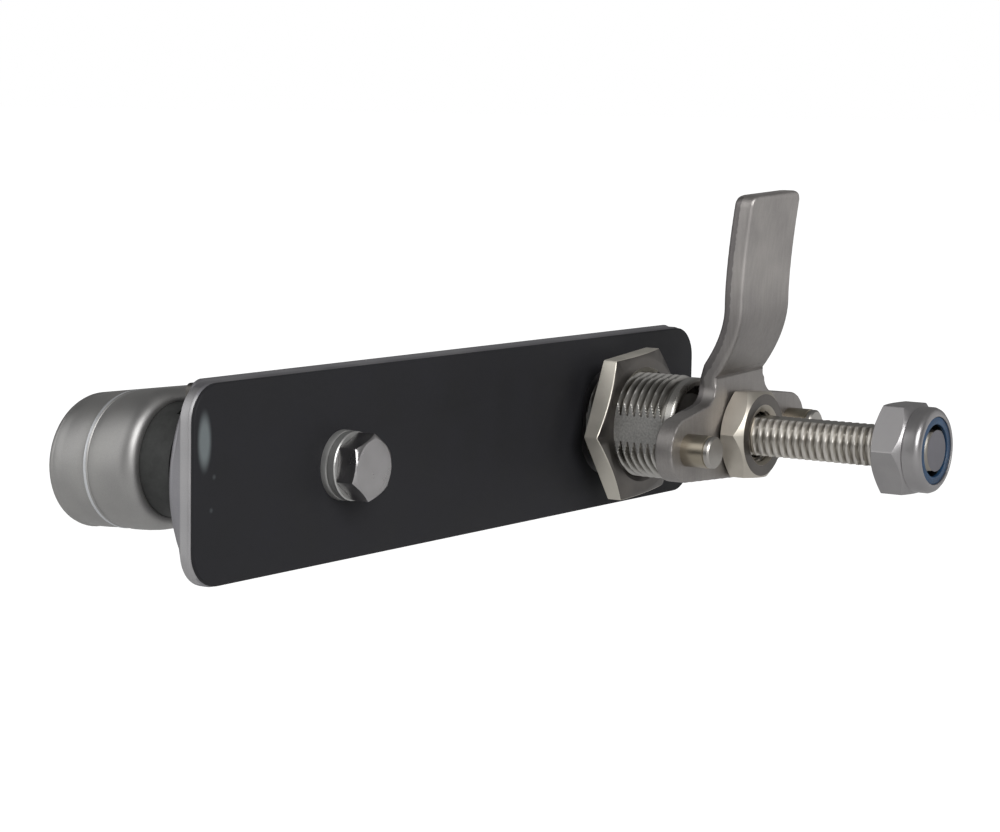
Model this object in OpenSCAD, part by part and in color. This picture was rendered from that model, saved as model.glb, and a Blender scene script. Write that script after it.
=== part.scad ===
// Swing handle lock with a lift-to-release compression cam.
// The origin is on the spindle axis at the rear face of the gasket.
// X runs along the plate, +Y points out of the door to the handle, +Z is up along the cam.

/* [Base plate] */
// Distance from the spindle axis to the handle end of the plate
plate_reach = 123.6; // [119:0.2:130]
// Distance from the spindle axis to the short end of the plate
plate_tail = 32.2; // [28:0.2:40]
// Width of the plate across its back edge
plate_w = 33.2; // [31:0.2:40]
// Thickness of the plate
plate_t = 5; // [4.6:0.1:8]
// Height of the square edge before the sides start to slope
edge_wall = 1.6; // [0.8:0.1:2.2]
// Corner radius of the back outline
corner_r = 5; // [3:0.5:8]
// Radius of the bowed front outline at the handle end
bow_r = 25; // [20:1:40]
// Rounding of the front edge
front_round = 0.9; // [0.3:0.1:1.2]
// Radius of the raised collar round the spindle
collar_r = 15; // [14.6:0.1:16]
// Height of the collar above the plate
collar_h = 1.2; // [0.8:0.1:2]

/* [Gasket] */
// Thickness of the rubber gasket
gasket_t = 1.2; // [0.8:0.1:2]
// How far the gasket stays inside the plate's back edge
gasket_inset = 0.2; // [0:0.1:1]

/* [Threaded boss] */
// Outer radius of the boss thread
boss_r = 10; // [9.8:0.1:10.6]
// Length of the boss behind the gasket
boss_l = 20; // [18:0.5:40]
// Distance from the axis to each side flat
boss_flat = 8.75; // [8.6:0.05:9.4]
// Radius of the spindle bore
bore_r = 7.05; // [7.02:0.01:7.1]
// Radius of the pocket for the retaining ring at the end of the boss
ring_pocket_r = 8.2; // [8.1:0.05:8.4]
// Depth of that pocket
ring_pocket_l = 3.5; // [3:0.1:5]
// Width of the groove near the end of the thread
end_groove_w = 0.9; // [0.4:0.1:1.5]
// Radius at the bottom of that groove
end_groove_r = 9.3; // [9.1:0.1:9.5]
// Length of the smooth end ring
end_ring_l = 1.9; // [1.2:0.1:2.5]

/* [Boss nut] */
// Size across flats of the boss nut
boss_nut_af = 27; // [26:0.5:32]
// Thickness of the boss nut
boss_nut_t = 3.8; // [3:0.1:6]
// Space for the door panel between gasket and nut
panel_gap = 4.4; // [1:0.1:5]
// Angle the nut was left at
boss_nut_turn = 5.2; // [0:0.1:60]

/* [Mounting bolt] */
// Distance of the mounting bolt from the spindle axis
bolt_x = 84.8; // [70:0.2:88]
// Radius of the bolt thread
bolt_r = 3; // [2.5:0.5:3]
// Size across flats of the bolt head
bolt_af = 10; // [9:0.5:13]
// Height of the bolt head
bolt_head_h = 4; // [3:0.1:5]
// Radius of the flat washer
washer_r = 6; // [5.8:0.1:7]
// Thickness of the flat washer
washer_t = 1.2; // [0.8:0.1:1.6]
// Radius of the spring washer
spring_washer_r = 5.9; // [5:0.1:6]
// Thickness of the spring washer
spring_washer_t = 1.6; // [1.2:0.1:2]
// Metal left over the end of the blind bolt hole
bolt_skin = 1.2; // [0.8:0.1:1.6]

/* [Spindle] */
// Radius of the spindle sleeve
sleeve_r = 7; // [6.98:0.01:7.02]
// Radius of the spindle flange
flange_r = 14; // [13.6:0.1:14.4]
// Thickness of the spindle flange
flange_t = 1.4; // [1.2:0.1:2]
// Thickness of the thrust washer under the flange
thrust_t = 0.8; // [0.5:0.1:1.2]
// Radius of the groove for the retaining ring
ring_groove_r = 6.25; // [6.15:0.05:6.4]
// Thickness of the retaining ring
ring_t = 1; // [0.8:0.1:1.2]
// Outer radius of the retaining ring
ring_r = 8.05; // [7.8:0.05:8.1]
// Thickness of the seal ring's cord
seal_d = 2; // [1.6:0.1:2]

/* [Draw rod] */
// Radius of the rod thread
rod_r = 5; // [4.8:0.1:5]
// Distance from the rod axis to each flat of the thread
rod_flat = 3.5; // [3.2:0.1:3.6]
// Depth of the rod end behind the gasket
rod_end = 69.2; // [68:0.2:90]
// Depth of the shoulder that carries the cam
rod_shoulder = 25.6; // [25:0.1:28]
// Radius of the rod shank inside the spindle
shank_r = 5.5; // [5.4:0.05:5.6]
// Distance from the rod axis to each flat of the shank
shank_flat = 3.6; // [3.4:0.05:3.65]
// Radius of the pivot pin
pivot_r = 2.5; // [2.2:0.1:2.8]

/* [Lift] */
// Lift of the handle that frees the cam
lift_angle = 40; // [30:1:42]
// Travel of the draw rod over that lift
lift_travel = 6; // [4:0.5:6]
// Height of the pivot above the flange when the handle lies flat
heel_h = 12.4; // [12.2:0.1:13]
// Clearance between the heel and the flange
heel_gap = 0.15; // [0.1:0.05:0.3]

/* [Cam] */
// Thickness of the cam at its hub and ears
cam_t = 3.7; // [3.4:0.05:5]
// Radius of the cam hub below the rod
cam_hub_r = 8.3; // [8:0.1:9.5]
// Width of the cam tongue
cam_w = 18.5; // [17:0.5:22]
// Height of the tongue tip above the rod axis
cam_top = 45.3; // [42:0.1:60]
// Thickness of the tongue
tongue_t = 4; // [3:0.1:5]
// How far the crank sets the tongue back from the door
crank_depth = 5.4; // [2:0.1:6]
// Height at which the crank starts
crank_start = 11.5; // [10.5:0.5:12]
// Height at which the crank ends
crank_end = 25; // [22:0.5:30]
// Set-back of the tongue tip behind the end of the crank
tongue_lean = 2.5; // [0:0.1:3]
// Radius between the sides of the tongue and the ears
cam_fillet = 2.5; // [1:0.5:3]
// Angle the cam was left at on the rod, handle end down
cam_turn = 2.4; // [0:0.1:2.4]
// Distance of each rod pin from the rod axis
ear_x = 19.3; // [17.8:0.1:24]
// Distance of the rod pins below the rod axis
ear_drop = 0.6; // [0:0.1:1]
// Radius of the ears
ear_r = 6; // [5:0.1:7]
// Radius of the rod pins
rod_pin_r = 3; // [2.5:0.1:3.5]
// Free length of the rod pins
rod_pin_l = 5.8; // [4:0.1:10]

/* [Rod nuts] */
// Size across flats of the cam nut and the lock nut
rod_nut_af = 16; // [16:0.5:17]
// Thickness of the cam nut
cam_nut_t = 5; // [4:0.1:6]
// Angle the cam nut was left at
cam_nut_turn = -3.6; // [-30:0.1:30]
// Height of the hexagon of the lock nut
lock_nut_hex = 6.2; // [5:0.1:8]
// Height of the round collar of the lock nut
lock_nut_collar = 3.3; // [2.5:0.1:4]
// Radius of the round collar of the lock nut
lock_nut_r = 7.5; // [7.2:0.1:7.8]
// Outer radius of the nylon insert
nylon_r = 6.1; // [5.8:0.1:6.4]
// Height of the nylon insert
nylon_t = 2.2; // [1.6:0.1:2.4]
// How far the lock nut reaches past the rod end
lock_nut_lip = 0.5; // [0:0.1:1]

/* [Handle] */
// Angle that the handle and rod have swung within their play, handle end up
swing_play = 1.3; // [0:0.1:1.4]
// Distance of the lock axis from the spindle axis
lock_x = 112.5; // [111:0.1:116]
// Widest radius of the handle in plan
handle_r = 12.1; // [11.8:0.1:14]
// Height of the underside of the grip above the gasket's rear face
grip_low = 13.8; // [13.4:0.1:15]
// Height of the handle's top face
handle_top = 30.3; // [30.3:0.1:32]
// Drop of the crown at the middle of the grip
crown_dip = 2.4; // [0:0.1:3]
// Height where the walls start to lean in
wall_bend = 22; // [20:0.5:24]
// How far the walls lean in between that height and the top edge
wall_lean = 2; // [1:0.1:2.6]
// Width of the slot for the rod eye in the handle
eye_slot_w = 7.6; // [7.5:0.1:8]
// Wall left round the hollow of the grip
grip_wall = 3.6; // [3:0.1:4.5]
// Depth of the hollow in the grip
hollow_depth = 9.5; // [6:0.5:10]
// Thickness of the two ribs across the hollow
rib_t = 2; // [1:0.1:3]

/* [Lock] */
// Radius of the lock barrel
barrel_r = 9.55; // [9.4:0.05:9.6]
// Gap between the barrel and the plate
barrel_gap = 0.3; // [0.2:0.05:0.6]
// Radius of the key plug
plug_r = 6; // [5.8:0.1:6.2]
// Radius at the tip of the lock tongue
tongue_reach = 13; // [12.6:0.1:13.2]
// Thickness of the lock tongue
bolt_tongue_t = 1.7; // [1.5:0.1:1.9]
// Width of the keyway
keyway_w = 2.2; // [1.8:0.1:2.6]
// Number of wafers in the key plug
wafer_count = 5; // [3:1:6]
// Thickness of the dust cover
cover_t = 1.2; // [0.8:0.1:1.5]
// Radius of the dust cover over the key plug
cover_r = 8.8; // [8:0.1:9]
// Distance between the key plug and the cover rivet
rivet_pitch = 12; // [11.8:0.1:12.2]

/* [Hidden] */

// Facets of a full round
$fn = 96;
// Overlap of cutting tools past the faces they cut
cut = 1;
// Radial clearance of fitted round pieces
fit = 0.03;
// Radial clearance of threads that are drawn smooth
thread_fit = 0.05;

// Heights along Y from the rear face of the gasket to the top of the flange
plate_front = gasket_t + plate_t;
collar_top = plate_front + collar_h;
flange_low = collar_top + thrust_t;
flange_top = flange_low + flange_t;
pivot_y = flange_top + heel_h;
// Travel of the heel for each radian of lift
heel_rate = lift_travel / (lift_angle * PI / 180);

// Boss stations along Y
ring_face = -boss_l + ring_pocket_l;
thread_end = -boss_l + end_ring_l + end_groove_w;
nut_near = -panel_gap;
nut_far = nut_near - boss_nut_t;

// Cam and nut stations along Y
cam_back = -rod_shoulder;
cam_front = cam_back - cam_t;
cam_nut_front = cam_front - cam_nut_t;
lock_nut_front = -rod_end - lock_nut_lip;
lock_nut_back = lock_nut_front + lock_nut_collar + lock_nut_hex;

// Line from the rod axis to each rod pin
ear_pitch = norm([ear_x, ear_drop]);
ear_tilt = atan2(ear_drop, ear_x);

// Shank, riveted end and chamfer of the rod pins
pin_shank_r = rod_pin_r - 0.5;
rivet_sink = 0.6;
pin_chamfer = 0.4;

// Seal ring groove in the collar
seal_pocket_r = bore_r + seal_d + 0.05;
seal_pocket_low = collar_top - seal_d - 0.1;

// Lock stations along Y
barrel_low = plate_front + barrel_gap;
tongue_low = barrel_low + 0.4;
tongue_top = tongue_low + bolt_tongue_t;
skirt_top = tongue_top + 0.2;
barrel_top = handle_top - 2.3;
plug_shoulder = barrel_top - 1.5;
plug_head_r = plug_r + 1.2;
plug_face = handle_top - 0.4;
barrel_bore_top = barrel_top + 0.1;
cover_top = handle_top + cover_t;
stub_l = 1;
stub_r = 3.4;
stub_flat = 2.4;
screw_head_h = 1.3;
screw_head_r = 2.5;
screw_r = 1.25;
rivet_r = 1.5;
rivet_l = 4.8;

// Wafers along the plug
wafer_pitch = 2.3;
wafer_t = 0.9;
wafer_first = skirt_top + 4;

// Keeper hook for the lock tongue, measured from the lock axis toward the spindle
hook_lip_near = 11;
hook_lip_far = 14;
hook_foot_far = 16.5;
hook_half_w = 4;
hook_low = tongue_top + 0.3;
hook_top = hook_low + 1.5;

// Grub screw that holds the barrel
grub_r = 2;
grub_y = wall_bend - 2;
grub_l = 6;

// Extrudes an outline drawn in x and z along Y
module slab_y(low, high) {
    translate([0, high, 0]) rotate([90, 0, 0]) linear_extrude(high - low) children();
}

// Round bar along Y
module bar_y(r, low, high) {
    translate([0, low, 0]) rotate([-90, 0, 0]) cylinder(r = r, h = high - low);
}

// Cone along Y
module cone_y(r_low, r_high, low, high) {
    translate([0, low, 0]) rotate([-90, 0, 0]) cylinder(r1 = r_low, r2 = r_high, h = high - low);
}

// Revolves an outline of radius and height round the Y axis
module turn_y() {
    rotate([-90, 0, 0]) rotate_extrude() children();
}

// Extrudes an outline drawn in x and y along Z, centred
module slab_z(width) {
    linear_extrude(width, center = true) children();
}

// Points of an arc from one angle to another
function arc(c, r, from, to, steps) =
    [for (i = [0:steps]) c + r * [cos(from + (to - from) * i / steps), sin(from + (to - from) * i / steps)]];

// Two circles of different radius joined by their outer tangents, the second on +x
module tangent_link(r1, r2, d) {
    a = asin((r1 - r2) / d);
    circle(r = r1);
    translate([d, 0]) circle(r = r2);
    polygon([
        [r1 * sin(a), -r1 * cos(a)],
        [d + r2 * sin(a), -r2 * cos(a)],
        [d + r2 * sin(a), r2 * cos(a)],
        [r1 * sin(a), r1 * cos(a)]
    ]);
}

// Circle with two parallel flats at z = +flat and -flat
module double_d(r, flat) {
    intersection() {
        circle(r = r);
        square([2 * r + cut, 2 * flat], center = true);
    }
}

// Rectangle with round corners, centred
module round_rect(l, w, r) {
    square([l - 2 * r, w], center = true);
    square([l, w - 2 * r], center = true);
    for (sx = [-1, 1], sz = [-1, 1])
        translate([sx * (l / 2 - r), sz * (w / 2 - r)]) circle(r = r);
}

// Hexagon prism along Y, its corners turned down by a bevel of some depth at each end
module hex_y(af, low, high, low_bevel, high_bevel, turn = 0) {
    corner = af / 2 / cos(30);
    face_r = af / 2 * 0.95;
    outer = corner + cut;
    reach = (outer - face_r) / (corner - face_r);
    low_end = low_bevel > 0 ? [[face_r, low], [outer, low + low_bevel * reach]] : [[outer, low]];
    high_end = high_bevel > 0 ? [[outer, high - high_bevel * reach], [face_r, high]] : [[outer, high]];
    intersection() {
        slab_y(low, high) rotate(turn) circle(r = corner, $fn = 6);
        turn_y() polygon(concat([[0, low]], low_end, high_end, [[0, high]]));
    }
}

// Turns what follows the handle through its play
module swung() {
    rotate([0, swing_play, 0]) children();
}

// Drilled hole along Y with a countersink at each end
module nut_hole(r, low, high) {
    sink = 0.6;
    bar_y(r, low - cut, high + cut);
    cone_y(r + sink, r, low, low + sink);
    cone_y(r, r + sink, high - sink, high);
}

// Back outline of the plate, moved in by an inset
function back_outline(inset) = let (
    h = plate_w / 2, r = corner_r - inset, n = 8,
    right = plate_tail - corner_r, left = -plate_reach + corner_r, z = h - corner_r
) concat(
    arc([right, z], r, 0, 90, n), arc([left, z], r, 90, 180, n),
    arc([left, -z], r, 180, 270, n), arc([right, -z], r, 270, 360, n)
);

// Front outline of the plate with its bowed handle end, moved in by an inset
function front_outline(inset) = let (
    h = plate_w / 2, corner = corner_r + 1, n = 8,
    right = plate_tail - 0.5 - corner, z = h - corner,
    bow_x = -plate_reach + 0.8 + bow_r,
    span = sqrt(pow(bow_r - corner, 2) - z * z),
    meet = atan2(z, -span)
) concat(
    arc([right, z], corner - inset, 0, 90, n),
    arc([bow_x - span, z], corner - inset, 90, meet, n),
    arc([bow_x, 0], bow_r - inset, meet, 360 - meet, 2 * n),
    arc([bow_x - span, -z], corner - inset, 360 - meet, 270, n),
    arc([right, -z], corner - inset, 270, 360, n)
);

// Plate body: square edge, sloping sides, rounded front edge
module plate_body() {
    skin = 0.02;
    hull() {
        slab_y(gasket_t, gasket_t + edge_wall) polygon(back_outline(0));
        slab_y(plate_front - front_round - skin, plate_front - front_round)
            polygon(front_outline(0));
        slab_y(plate_front - front_round * 0.3 - skin, plate_front - front_round * 0.3)
            polygon(front_outline(front_round * 0.3));
        slab_y(plate_front - skin, plate_front) polygon(front_outline(front_round));
    }
}

// Boss behind the plate with its side flats and end groove
module boss_body() {
    chamfer = 0.5;
    end_r = boss_r - 0.25;
    intersection() {
        turn_y() polygon([
            [0, -boss_l], [end_r - chamfer, -boss_l], [end_r, -boss_l + chamfer],
            [end_r, -boss_l + end_ring_l], [end_groove_r, -boss_l + end_ring_l],
            [end_groove_r, thread_end], [boss_r, thread_end + (boss_r - end_groove_r)],
            [boss_r, gasket_t + cut], [0, gasket_t + cut]
        ]);
        union() {
            slab_y(thread_end, gasket_t + cut) square([2 * boss_flat, 4 * boss_r], center = true);
            slab_y(-boss_l, thread_end) square(4 * boss_r, center = true);
        }
    }
}

// Hook on the plate that the lock tongue turns under
module keeper_hook() {
    low = plate_front - 0.5;
    translate([-lock_x, 0, 0]) slab_z(2 * hook_half_w) polygon([
        [hook_lip_near, hook_low], [hook_lip_far, hook_low], [hook_lip_far, low],
        [hook_foot_far, low], [hook_foot_far, hook_top - 1], [hook_foot_far - 1, hook_top],
        [hook_lip_near, hook_top]
    ]);
}

module base_plate() color("#8d8987") difference() {
    union() {
        plate_body();
        boss_body();
        bar_y(collar_r, gasket_t + cut, collar_top);
        keeper_hook();
    }
    bar_y(bore_r, -boss_l - cut, collar_top + cut);
    bar_y(ring_pocket_r, -boss_l - cut, ring_face);
    bar_y(seal_pocket_r, seal_pocket_low, collar_top + cut);
    translate([-bolt_x, 0, 0]) bar_y(bolt_r, gasket_t - cut, plate_front - bolt_skin);
}

module gasket() color("#26262b") difference() {
    slab_y(0, gasket_t) polygon(back_outline(gasket_inset));
    slab_y(-cut, gasket_t + cut) intersection() {
        circle(r = boss_r + 0.3);
        square([2 * boss_flat + 0.6, 4 * boss_r], center = true);
    }
    translate([-bolt_x, 0, 0]) bar_y(bolt_r + 0.3, -cut, gasket_t + cut);
}

module boss_nut() color("#b3aea7") difference() {
    hex_y(boss_nut_af, nut_far, nut_near, 0.9, 0, boss_nut_turn);
    nut_hole(boss_r + thread_fit, nut_far, nut_near);
}

// Washers and head stand on the gasket's rear face, toward -Y
module mounting_bolt() color("#bdb7ac") {
    head_back = -washer_t - spring_washer_t;
    head_front = head_back - bolt_head_h;
    thread_r = bolt_r - fit;
    tip = plate_front - bolt_skin - 0.6;
    translate([-bolt_x, 0, 0]) {
        hex_y(bolt_af, head_front, head_back, 0.6, 0, 30);
        turn_y() polygon([
            [0, head_back - cut], [thread_r, head_back - cut], [thread_r, tip - 0.6],
            [thread_r - 0.6, tip], [0, tip]
        ]);
    }
}

module flat_washer() color("#a9a5a1") translate([-bolt_x, 0, 0]) difference() {
    bar_y(washer_r, -washer_t, 0);
    bar_y(bolt_r + 0.2, -washer_t - cut, cut);
}

// The split of the spring washer lies aslant, on the handle side
module spring_washer() color("#a9a5a1") translate([-bolt_x, 0, 0]) difference() {
    split_w = 0.9;
    low = -washer_t - spring_washer_t;
    bar_y(spring_washer_r, low, -washer_t);
    bar_y(bolt_r + 0.15, low - cut, -washer_t + cut);
    translate([-spring_washer_r, -washer_t - spring_washer_t / 2, 0])
        rotate([25, 0, 0]) cube([2 * spring_washer_r - 2 * bolt_r, 4, split_w], center = true);
}

module seal_ring() color("#1d1d1f") {
    r = seal_d / 2;
    turn_y() translate([bore_r + r, collar_top - 0.05 - r]) circle(r = r, $fn = 32);
}

module thrust_washer() color("#d9d4c4") difference() {
    bar_y(flange_r - 0.4, collar_top, flange_low);
    bar_y(sleeve_r + 0.1, collar_top - cut, flange_low + cut);
}

module spindle() color("#9b9793") swung() difference() {
    groove_low = ring_face - 0.1 - ring_t - 0.1;
    groove_high = ring_face - 0.1;
    sleeve_end = groove_low - 0.5;
    turn_y() polygon([
        [0, sleeve_end], [sleeve_r - 0.3, sleeve_end], [sleeve_r, sleeve_end + 0.3],
        [sleeve_r, groove_low], [ring_groove_r, groove_low], [ring_groove_r, groove_high],
        [sleeve_r, groove_high], [sleeve_r, flange_low], [flange_r, flange_low],
        [flange_r, flange_top - 0.3], [flange_r - 0.3, flange_top], [0, flange_top]
    ]);
    slab_y(-boss_l, flange_top + cut) double_d(shank_r + 0.05, shank_flat + 0.05);
}

// Open ring that snaps into the spindle groove and bears on the boss
module retaining_ring() color("#4b4a49") swung() {
    high = ring_face - 0.1;
    gap = 35;
    slab_y(high - ring_t, high) difference() {
        circle(r = ring_r);
        circle(r = ring_groove_r + fit);
        polygon([[0, 0], 2 * ring_r * [cos(-90 - gap), sin(-90 - gap)],
                 2 * ring_r * [cos(-90 + gap), sin(-90 + gap)]]);
    }
}

// Eye and shank above the shoulder, flattened thread below it
module draw_rod() color("#a19d98") swung() difference() {
    chamfer = 0.8;
    union() {
        slab_y(-rod_shoulder, pivot_y) double_d(shank_r, shank_flat);
        translate([0, pivot_y, 0]) slab_z(2 * shank_flat) circle(r = shank_r);
        intersection() {
            turn_y() polygon([
                [0, -rod_end], [rod_r - chamfer, -rod_end], [rod_r, -rod_end + chamfer],
                [rod_r, -rod_shoulder + cut], [0, -rod_shoulder + cut]
            ]);
            cube([4 * rod_r, 4 * rod_end, 2 * rod_flat], center = true);
        }
    }
    translate([0, pivot_y, 0]) slab_z(4 * shank_flat) circle(r = pivot_r + fit);
}

// Share of the crank that lies below a height above the rod
function crank_share(z) = min(1, max(0, (z - crank_start) / (crank_end - crank_start)));

// Set-back of the cam's rear face at a height: a crease at the hub, then an easing curve
function crank(z) = let (
    straight = max(0, z - crank_end) / (cam_top - crank_end)
) crank_depth * (1 - pow(1 - crank_share(z), 1.9)) + tongue_lean * pow(straight, 1.5);

// Point of the rear face, in y and z
function rear_point(z) = [cam_front - crank(z), z];

// Point of the door-side face square to that one, at the thickness of the cam there
function door_point(z) = let (
    ahead = 0.1,
    slope = (crank(z + ahead) - crank(z)) / ahead,
    t = cam_t + (tongue_t - cam_t) * crank_share(z)
) rear_point(z) + t * [1, slope] / norm([1, slope]);

// Side view of hub and tongue in y and z: rear face up, door-side face down
function tongue_side() = let (
    crank_steps = 8, tongue_steps = 5, tip = 0.7,
    heights = concat(
        [for (i = [0:crank_steps]) crank_start + (crank_end - crank_start) * i / crank_steps],
        [for (i = [1:tongue_steps]) crank_end + (cam_top - 2 * tip - crank_end) * i / tongue_steps]
    ),
    last = len(heights) - 1
) concat(
    [[cam_front, 0]],
    [for (z = heights) rear_point(z)],
    [rear_point(cam_top - tip), [cam_front - crank(cam_top) + tip, cam_top],
     [cam_front - crank(cam_top) + tongue_t - tip, cam_top],
     rear_point(cam_top - tip) + [tongue_t, 0]],
    [for (i = [last - 1:-1:0]) door_point(heights[i])],
    [[cam_back, crank_start + 1.2], [cam_back, 0]]
);

// Places what each ear carries at its rod pin, on the cam as it was left
module at_rod_pins() {
    for (side = [-1, 1])
        rotate([0, -cam_turn, 0]) translate([side * ear_x, 0, -ear_drop]) children();
}

// Hub, ears and the fillets between ears and tongue, in x and z
module cam_hub_outline() {
    drop_angle = ear_tilt + asin((cam_hub_r - ear_r) / ear_pitch);
    edge = cam_w / 2 + cam_fillet;
    edge_z = cam_hub_r / cos(drop_angle) - edge * tan(drop_angle);
    middle_z = edge_z + cam_fillet / cos(drop_angle);
    circle(r = cam_hub_r);
    for (side = [0, 1]) mirror([side, 0]) {
        rotate(-ear_tilt) tangent_link(cam_hub_r, ear_r, ear_pitch);
        difference() {
            polygon([[0, 0], [0, middle_z], [edge - cut, middle_z],
                     [edge - cam_fillet * sin(drop_angle), middle_z],
                     [edge - cam_fillet * sin(drop_angle), 0]]);
            translate([edge, middle_z]) circle(r = cam_fillet);
        }
    }
}

// The flats of the hole leave the play by which the cam can turn on the rod
module cam() color("#938e89") difference() {
    rotate([0, -cam_turn, 0]) difference() {
        union() {
            intersection() {
                slab_y(cam_front - crank_depth - tongue_lean - cut, cam_back + cut)
                    translate([-cam_w / 2, 0]) square([cam_w, cam_top + cut]);
                rotate([90, 0, 90]) linear_extrude(cam_w + 2, center = true) polygon(tongue_side());
            }
            slab_y(cam_front, cam_back) cam_hub_outline();
        }
        slab_y(cam_front - cut, cam_back + cut) double_d(rod_r + 0.08, rod_flat + 0.28);
    }
    at_rod_pins() {
        bar_y(pin_shank_r + fit, cam_front - cut, cam_back + cut);
        cone_y(pin_shank_r + fit, rod_pin_r + fit, cam_back - rivet_sink, cam_back);
    }
}

// The pins stand on the ears with a shoulder and are riveted flush at the back
module rod_pins() color("#a39f9a") at_rod_pins() {
    end = cam_front - rod_pin_l;
    turn_y() polygon([
        [0, end], [rod_pin_r - pin_chamfer, end], [rod_pin_r, end + pin_chamfer],
        [rod_pin_r, cam_front], [pin_shank_r, cam_front],
        [pin_shank_r, cam_back - rivet_sink], [rod_pin_r, cam_back], [0, cam_back]
    ]);
}

module cam_nut() color("#bdb7ac") difference() {
    hex_y(rod_nut_af, cam_nut_front, cam_front, 1.3, 0.85, cam_nut_turn);
    nut_hole(rod_r + thread_fit, cam_nut_front, cam_front);
}

// Hexagon nut with a round collar that is rolled in over the nylon insert
module lock_nut() color("#bdb7ac") difference() {
    collar_low = lock_nut_front;
    collar_high = collar_low + lock_nut_collar;
    nylon_low = collar_low + 0.5;
    union() {
        hex_y(rod_nut_af, collar_high, lock_nut_back, 1.2, 0.8);
        turn_y() polygon([
            [0, collar_low], [lock_nut_r - 1, collar_low], [lock_nut_r - 0.3, collar_low + 0.3],
            [lock_nut_r, collar_low + 1], [lock_nut_r, collar_high + 0.3], [0, collar_high + 0.3]
        ]);
    }
    bar_y(rod_r + thread_fit, collar_low - cut, lock_nut_back + cut);
    bar_y(nylon_r - 0.4, collar_low - cut, nylon_low);
    bar_y(nylon_r, nylon_low, nylon_low + nylon_t);
    cone_y(rod_r, rod_r + 0.6, lock_nut_back - 0.6, lock_nut_back);
}

module nylon_insert() color("#34537a") swung() difference() {
    low = lock_nut_front + 0.5;
    bar_y(nylon_r - fit, low, low + nylon_t);
    slab_y(low - cut, low + nylon_t + cut) double_d(rod_r + thread_fit, rod_flat + thread_fit);
}

// Radius of the handle in plan at each height, from the rim up to the top face
function housing_profile(low) = [
    [0, low], [handle_r - 1.2, low], [handle_r - 0.3, low + 0.5], [handle_r, low + 1.4],
    [handle_r - 0.3, wall_bend], [handle_r - 0.3 - wall_lean * 0.35, wall_bend + 3],
    [handle_r - 0.3 - wall_lean * 0.8, handle_top - 1.4], [handle_r - wall_lean - 0.6, handle_top - 0.4],
    [handle_r - wall_lean - 1.2, handle_top], [0, handle_top]
];

// Point of the heel that bears on the flange at a lift angle, from the pivot
function heel_point(a) = let (
    h = heel_h - heel_gap - heel_rate * a * PI / 180
) [h * sin(a) - heel_rate * cos(a), -h * cos(a) - heel_rate * sin(a)];

// Side view of the handle: crown, open stop, heel curve and underside of the grip
function handle_side() = let (
    left = -lock_x - handle_r - cut, right = handle_r + cut,
    crown_from = -lock_x + 18, crown_to = -handle_r,
    crown_steps = 10, heel_steps = 8,
    last = heel_point(lift_angle),
    toe = 1 - flange_r
) concat(
    [[left, grip_low], [left, handle_top]],
    [for (i = [0:crown_steps]) let (u = i / crown_steps)
        [crown_from + (crown_to - crown_from) * u, handle_top - crown_dip * (1 - pow(2 * u - 1, 2))]],
    [[right, handle_top],
     [right, pivot_y + last[1] + (right - last[0]) * tan(lift_angle)]],
    [for (i = [heel_steps:-1:0]) heel_point(lift_angle * i / heel_steps) + [0, pivot_y]],
    [[toe, pivot_y + heel_point(0)[1]], [toe - 4, grip_low]]
);

// Solid handle before it is hollowed: two turned ends joined by straight walls
module handle_body() {
    intersection() {
        hull() {
            translate([-lock_x, 0, 0]) turn_y($fn = 48) polygon(housing_profile(grip_low));
            turn_y($fn = 48) polygon(housing_profile(flange_top - 0.5));
        }
        slab_z(4 * handle_r) polygon(handle_side());
    }
}

// Room for the rod eye: it leans from straight down to the lift angle
module eye_slot() {
    half = shank_r + 0.3;
    far = 2 * heel_h;
    toward = [sin(lift_angle), -cos(lift_angle)];
    across = half * [cos(lift_angle), sin(lift_angle)];
    translate([0, pivot_y, 0]) slab_z(eye_slot_w) {
        circle(r = half + 0.2);
        polygon([[-half, 0], [-half, -far], far * toward + [0, -far], across + far * toward, across]);
    }
}

// Cored hollow of the grip, open to the plate side and crossed by two ribs
module grip_hollow() {
    from = -lock_x + barrel_r + grub_l - 0.5;
    to = -handle_r - 6;
    bays = 3;
    bay = (to - from - (bays - 1) * rib_t) / bays;
    half_w = handle_r - grip_wall;
    for (i = [0:bays - 1])
        translate([from + bay / 2 + i * (bay + rib_t), 0, 0])
            slab_y(grip_low - cut, grip_low + hollow_depth) round_rect(bay, 2 * half_w, 2);
}

module handle_lever() color("#918c88") swung() difference() {
    handle_body();
    eye_slot();
    grip_hollow();
    translate([0, pivot_y, 0]) slab_z(4 * handle_r) circle(r = pivot_r + fit);
    translate([-lock_x, 0, 0]) {
        bar_y(barrel_r + thread_fit, grip_low - cut, barrel_bore_top);
        bar_y(plug_r + 0.6, barrel_top, handle_top + cut);
        translate([barrel_r - cut, grub_y, 0]) rotate([0, 90, 0]) cylinder(r = grub_r + fit, h = grub_l + 2);
        translate([rivet_pitch, 0, 0]) bar_y(rivet_r + fit, handle_top - rivet_l - 0.2, handle_top + cut);
    }
}

module pivot_pin() color("#b5b0aa") swung() {
    length = 2 * handle_r - 1.4;
    chamfer = 0.4;
    translate([0, pivot_y, -length / 2]) rotate_extrude() polygon([
        [0, 0], [pivot_r - chamfer, 0], [pivot_r, chamfer],
        [pivot_r, length - chamfer], [pivot_r - chamfer, length], [0, length]
    ]);
}

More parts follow.
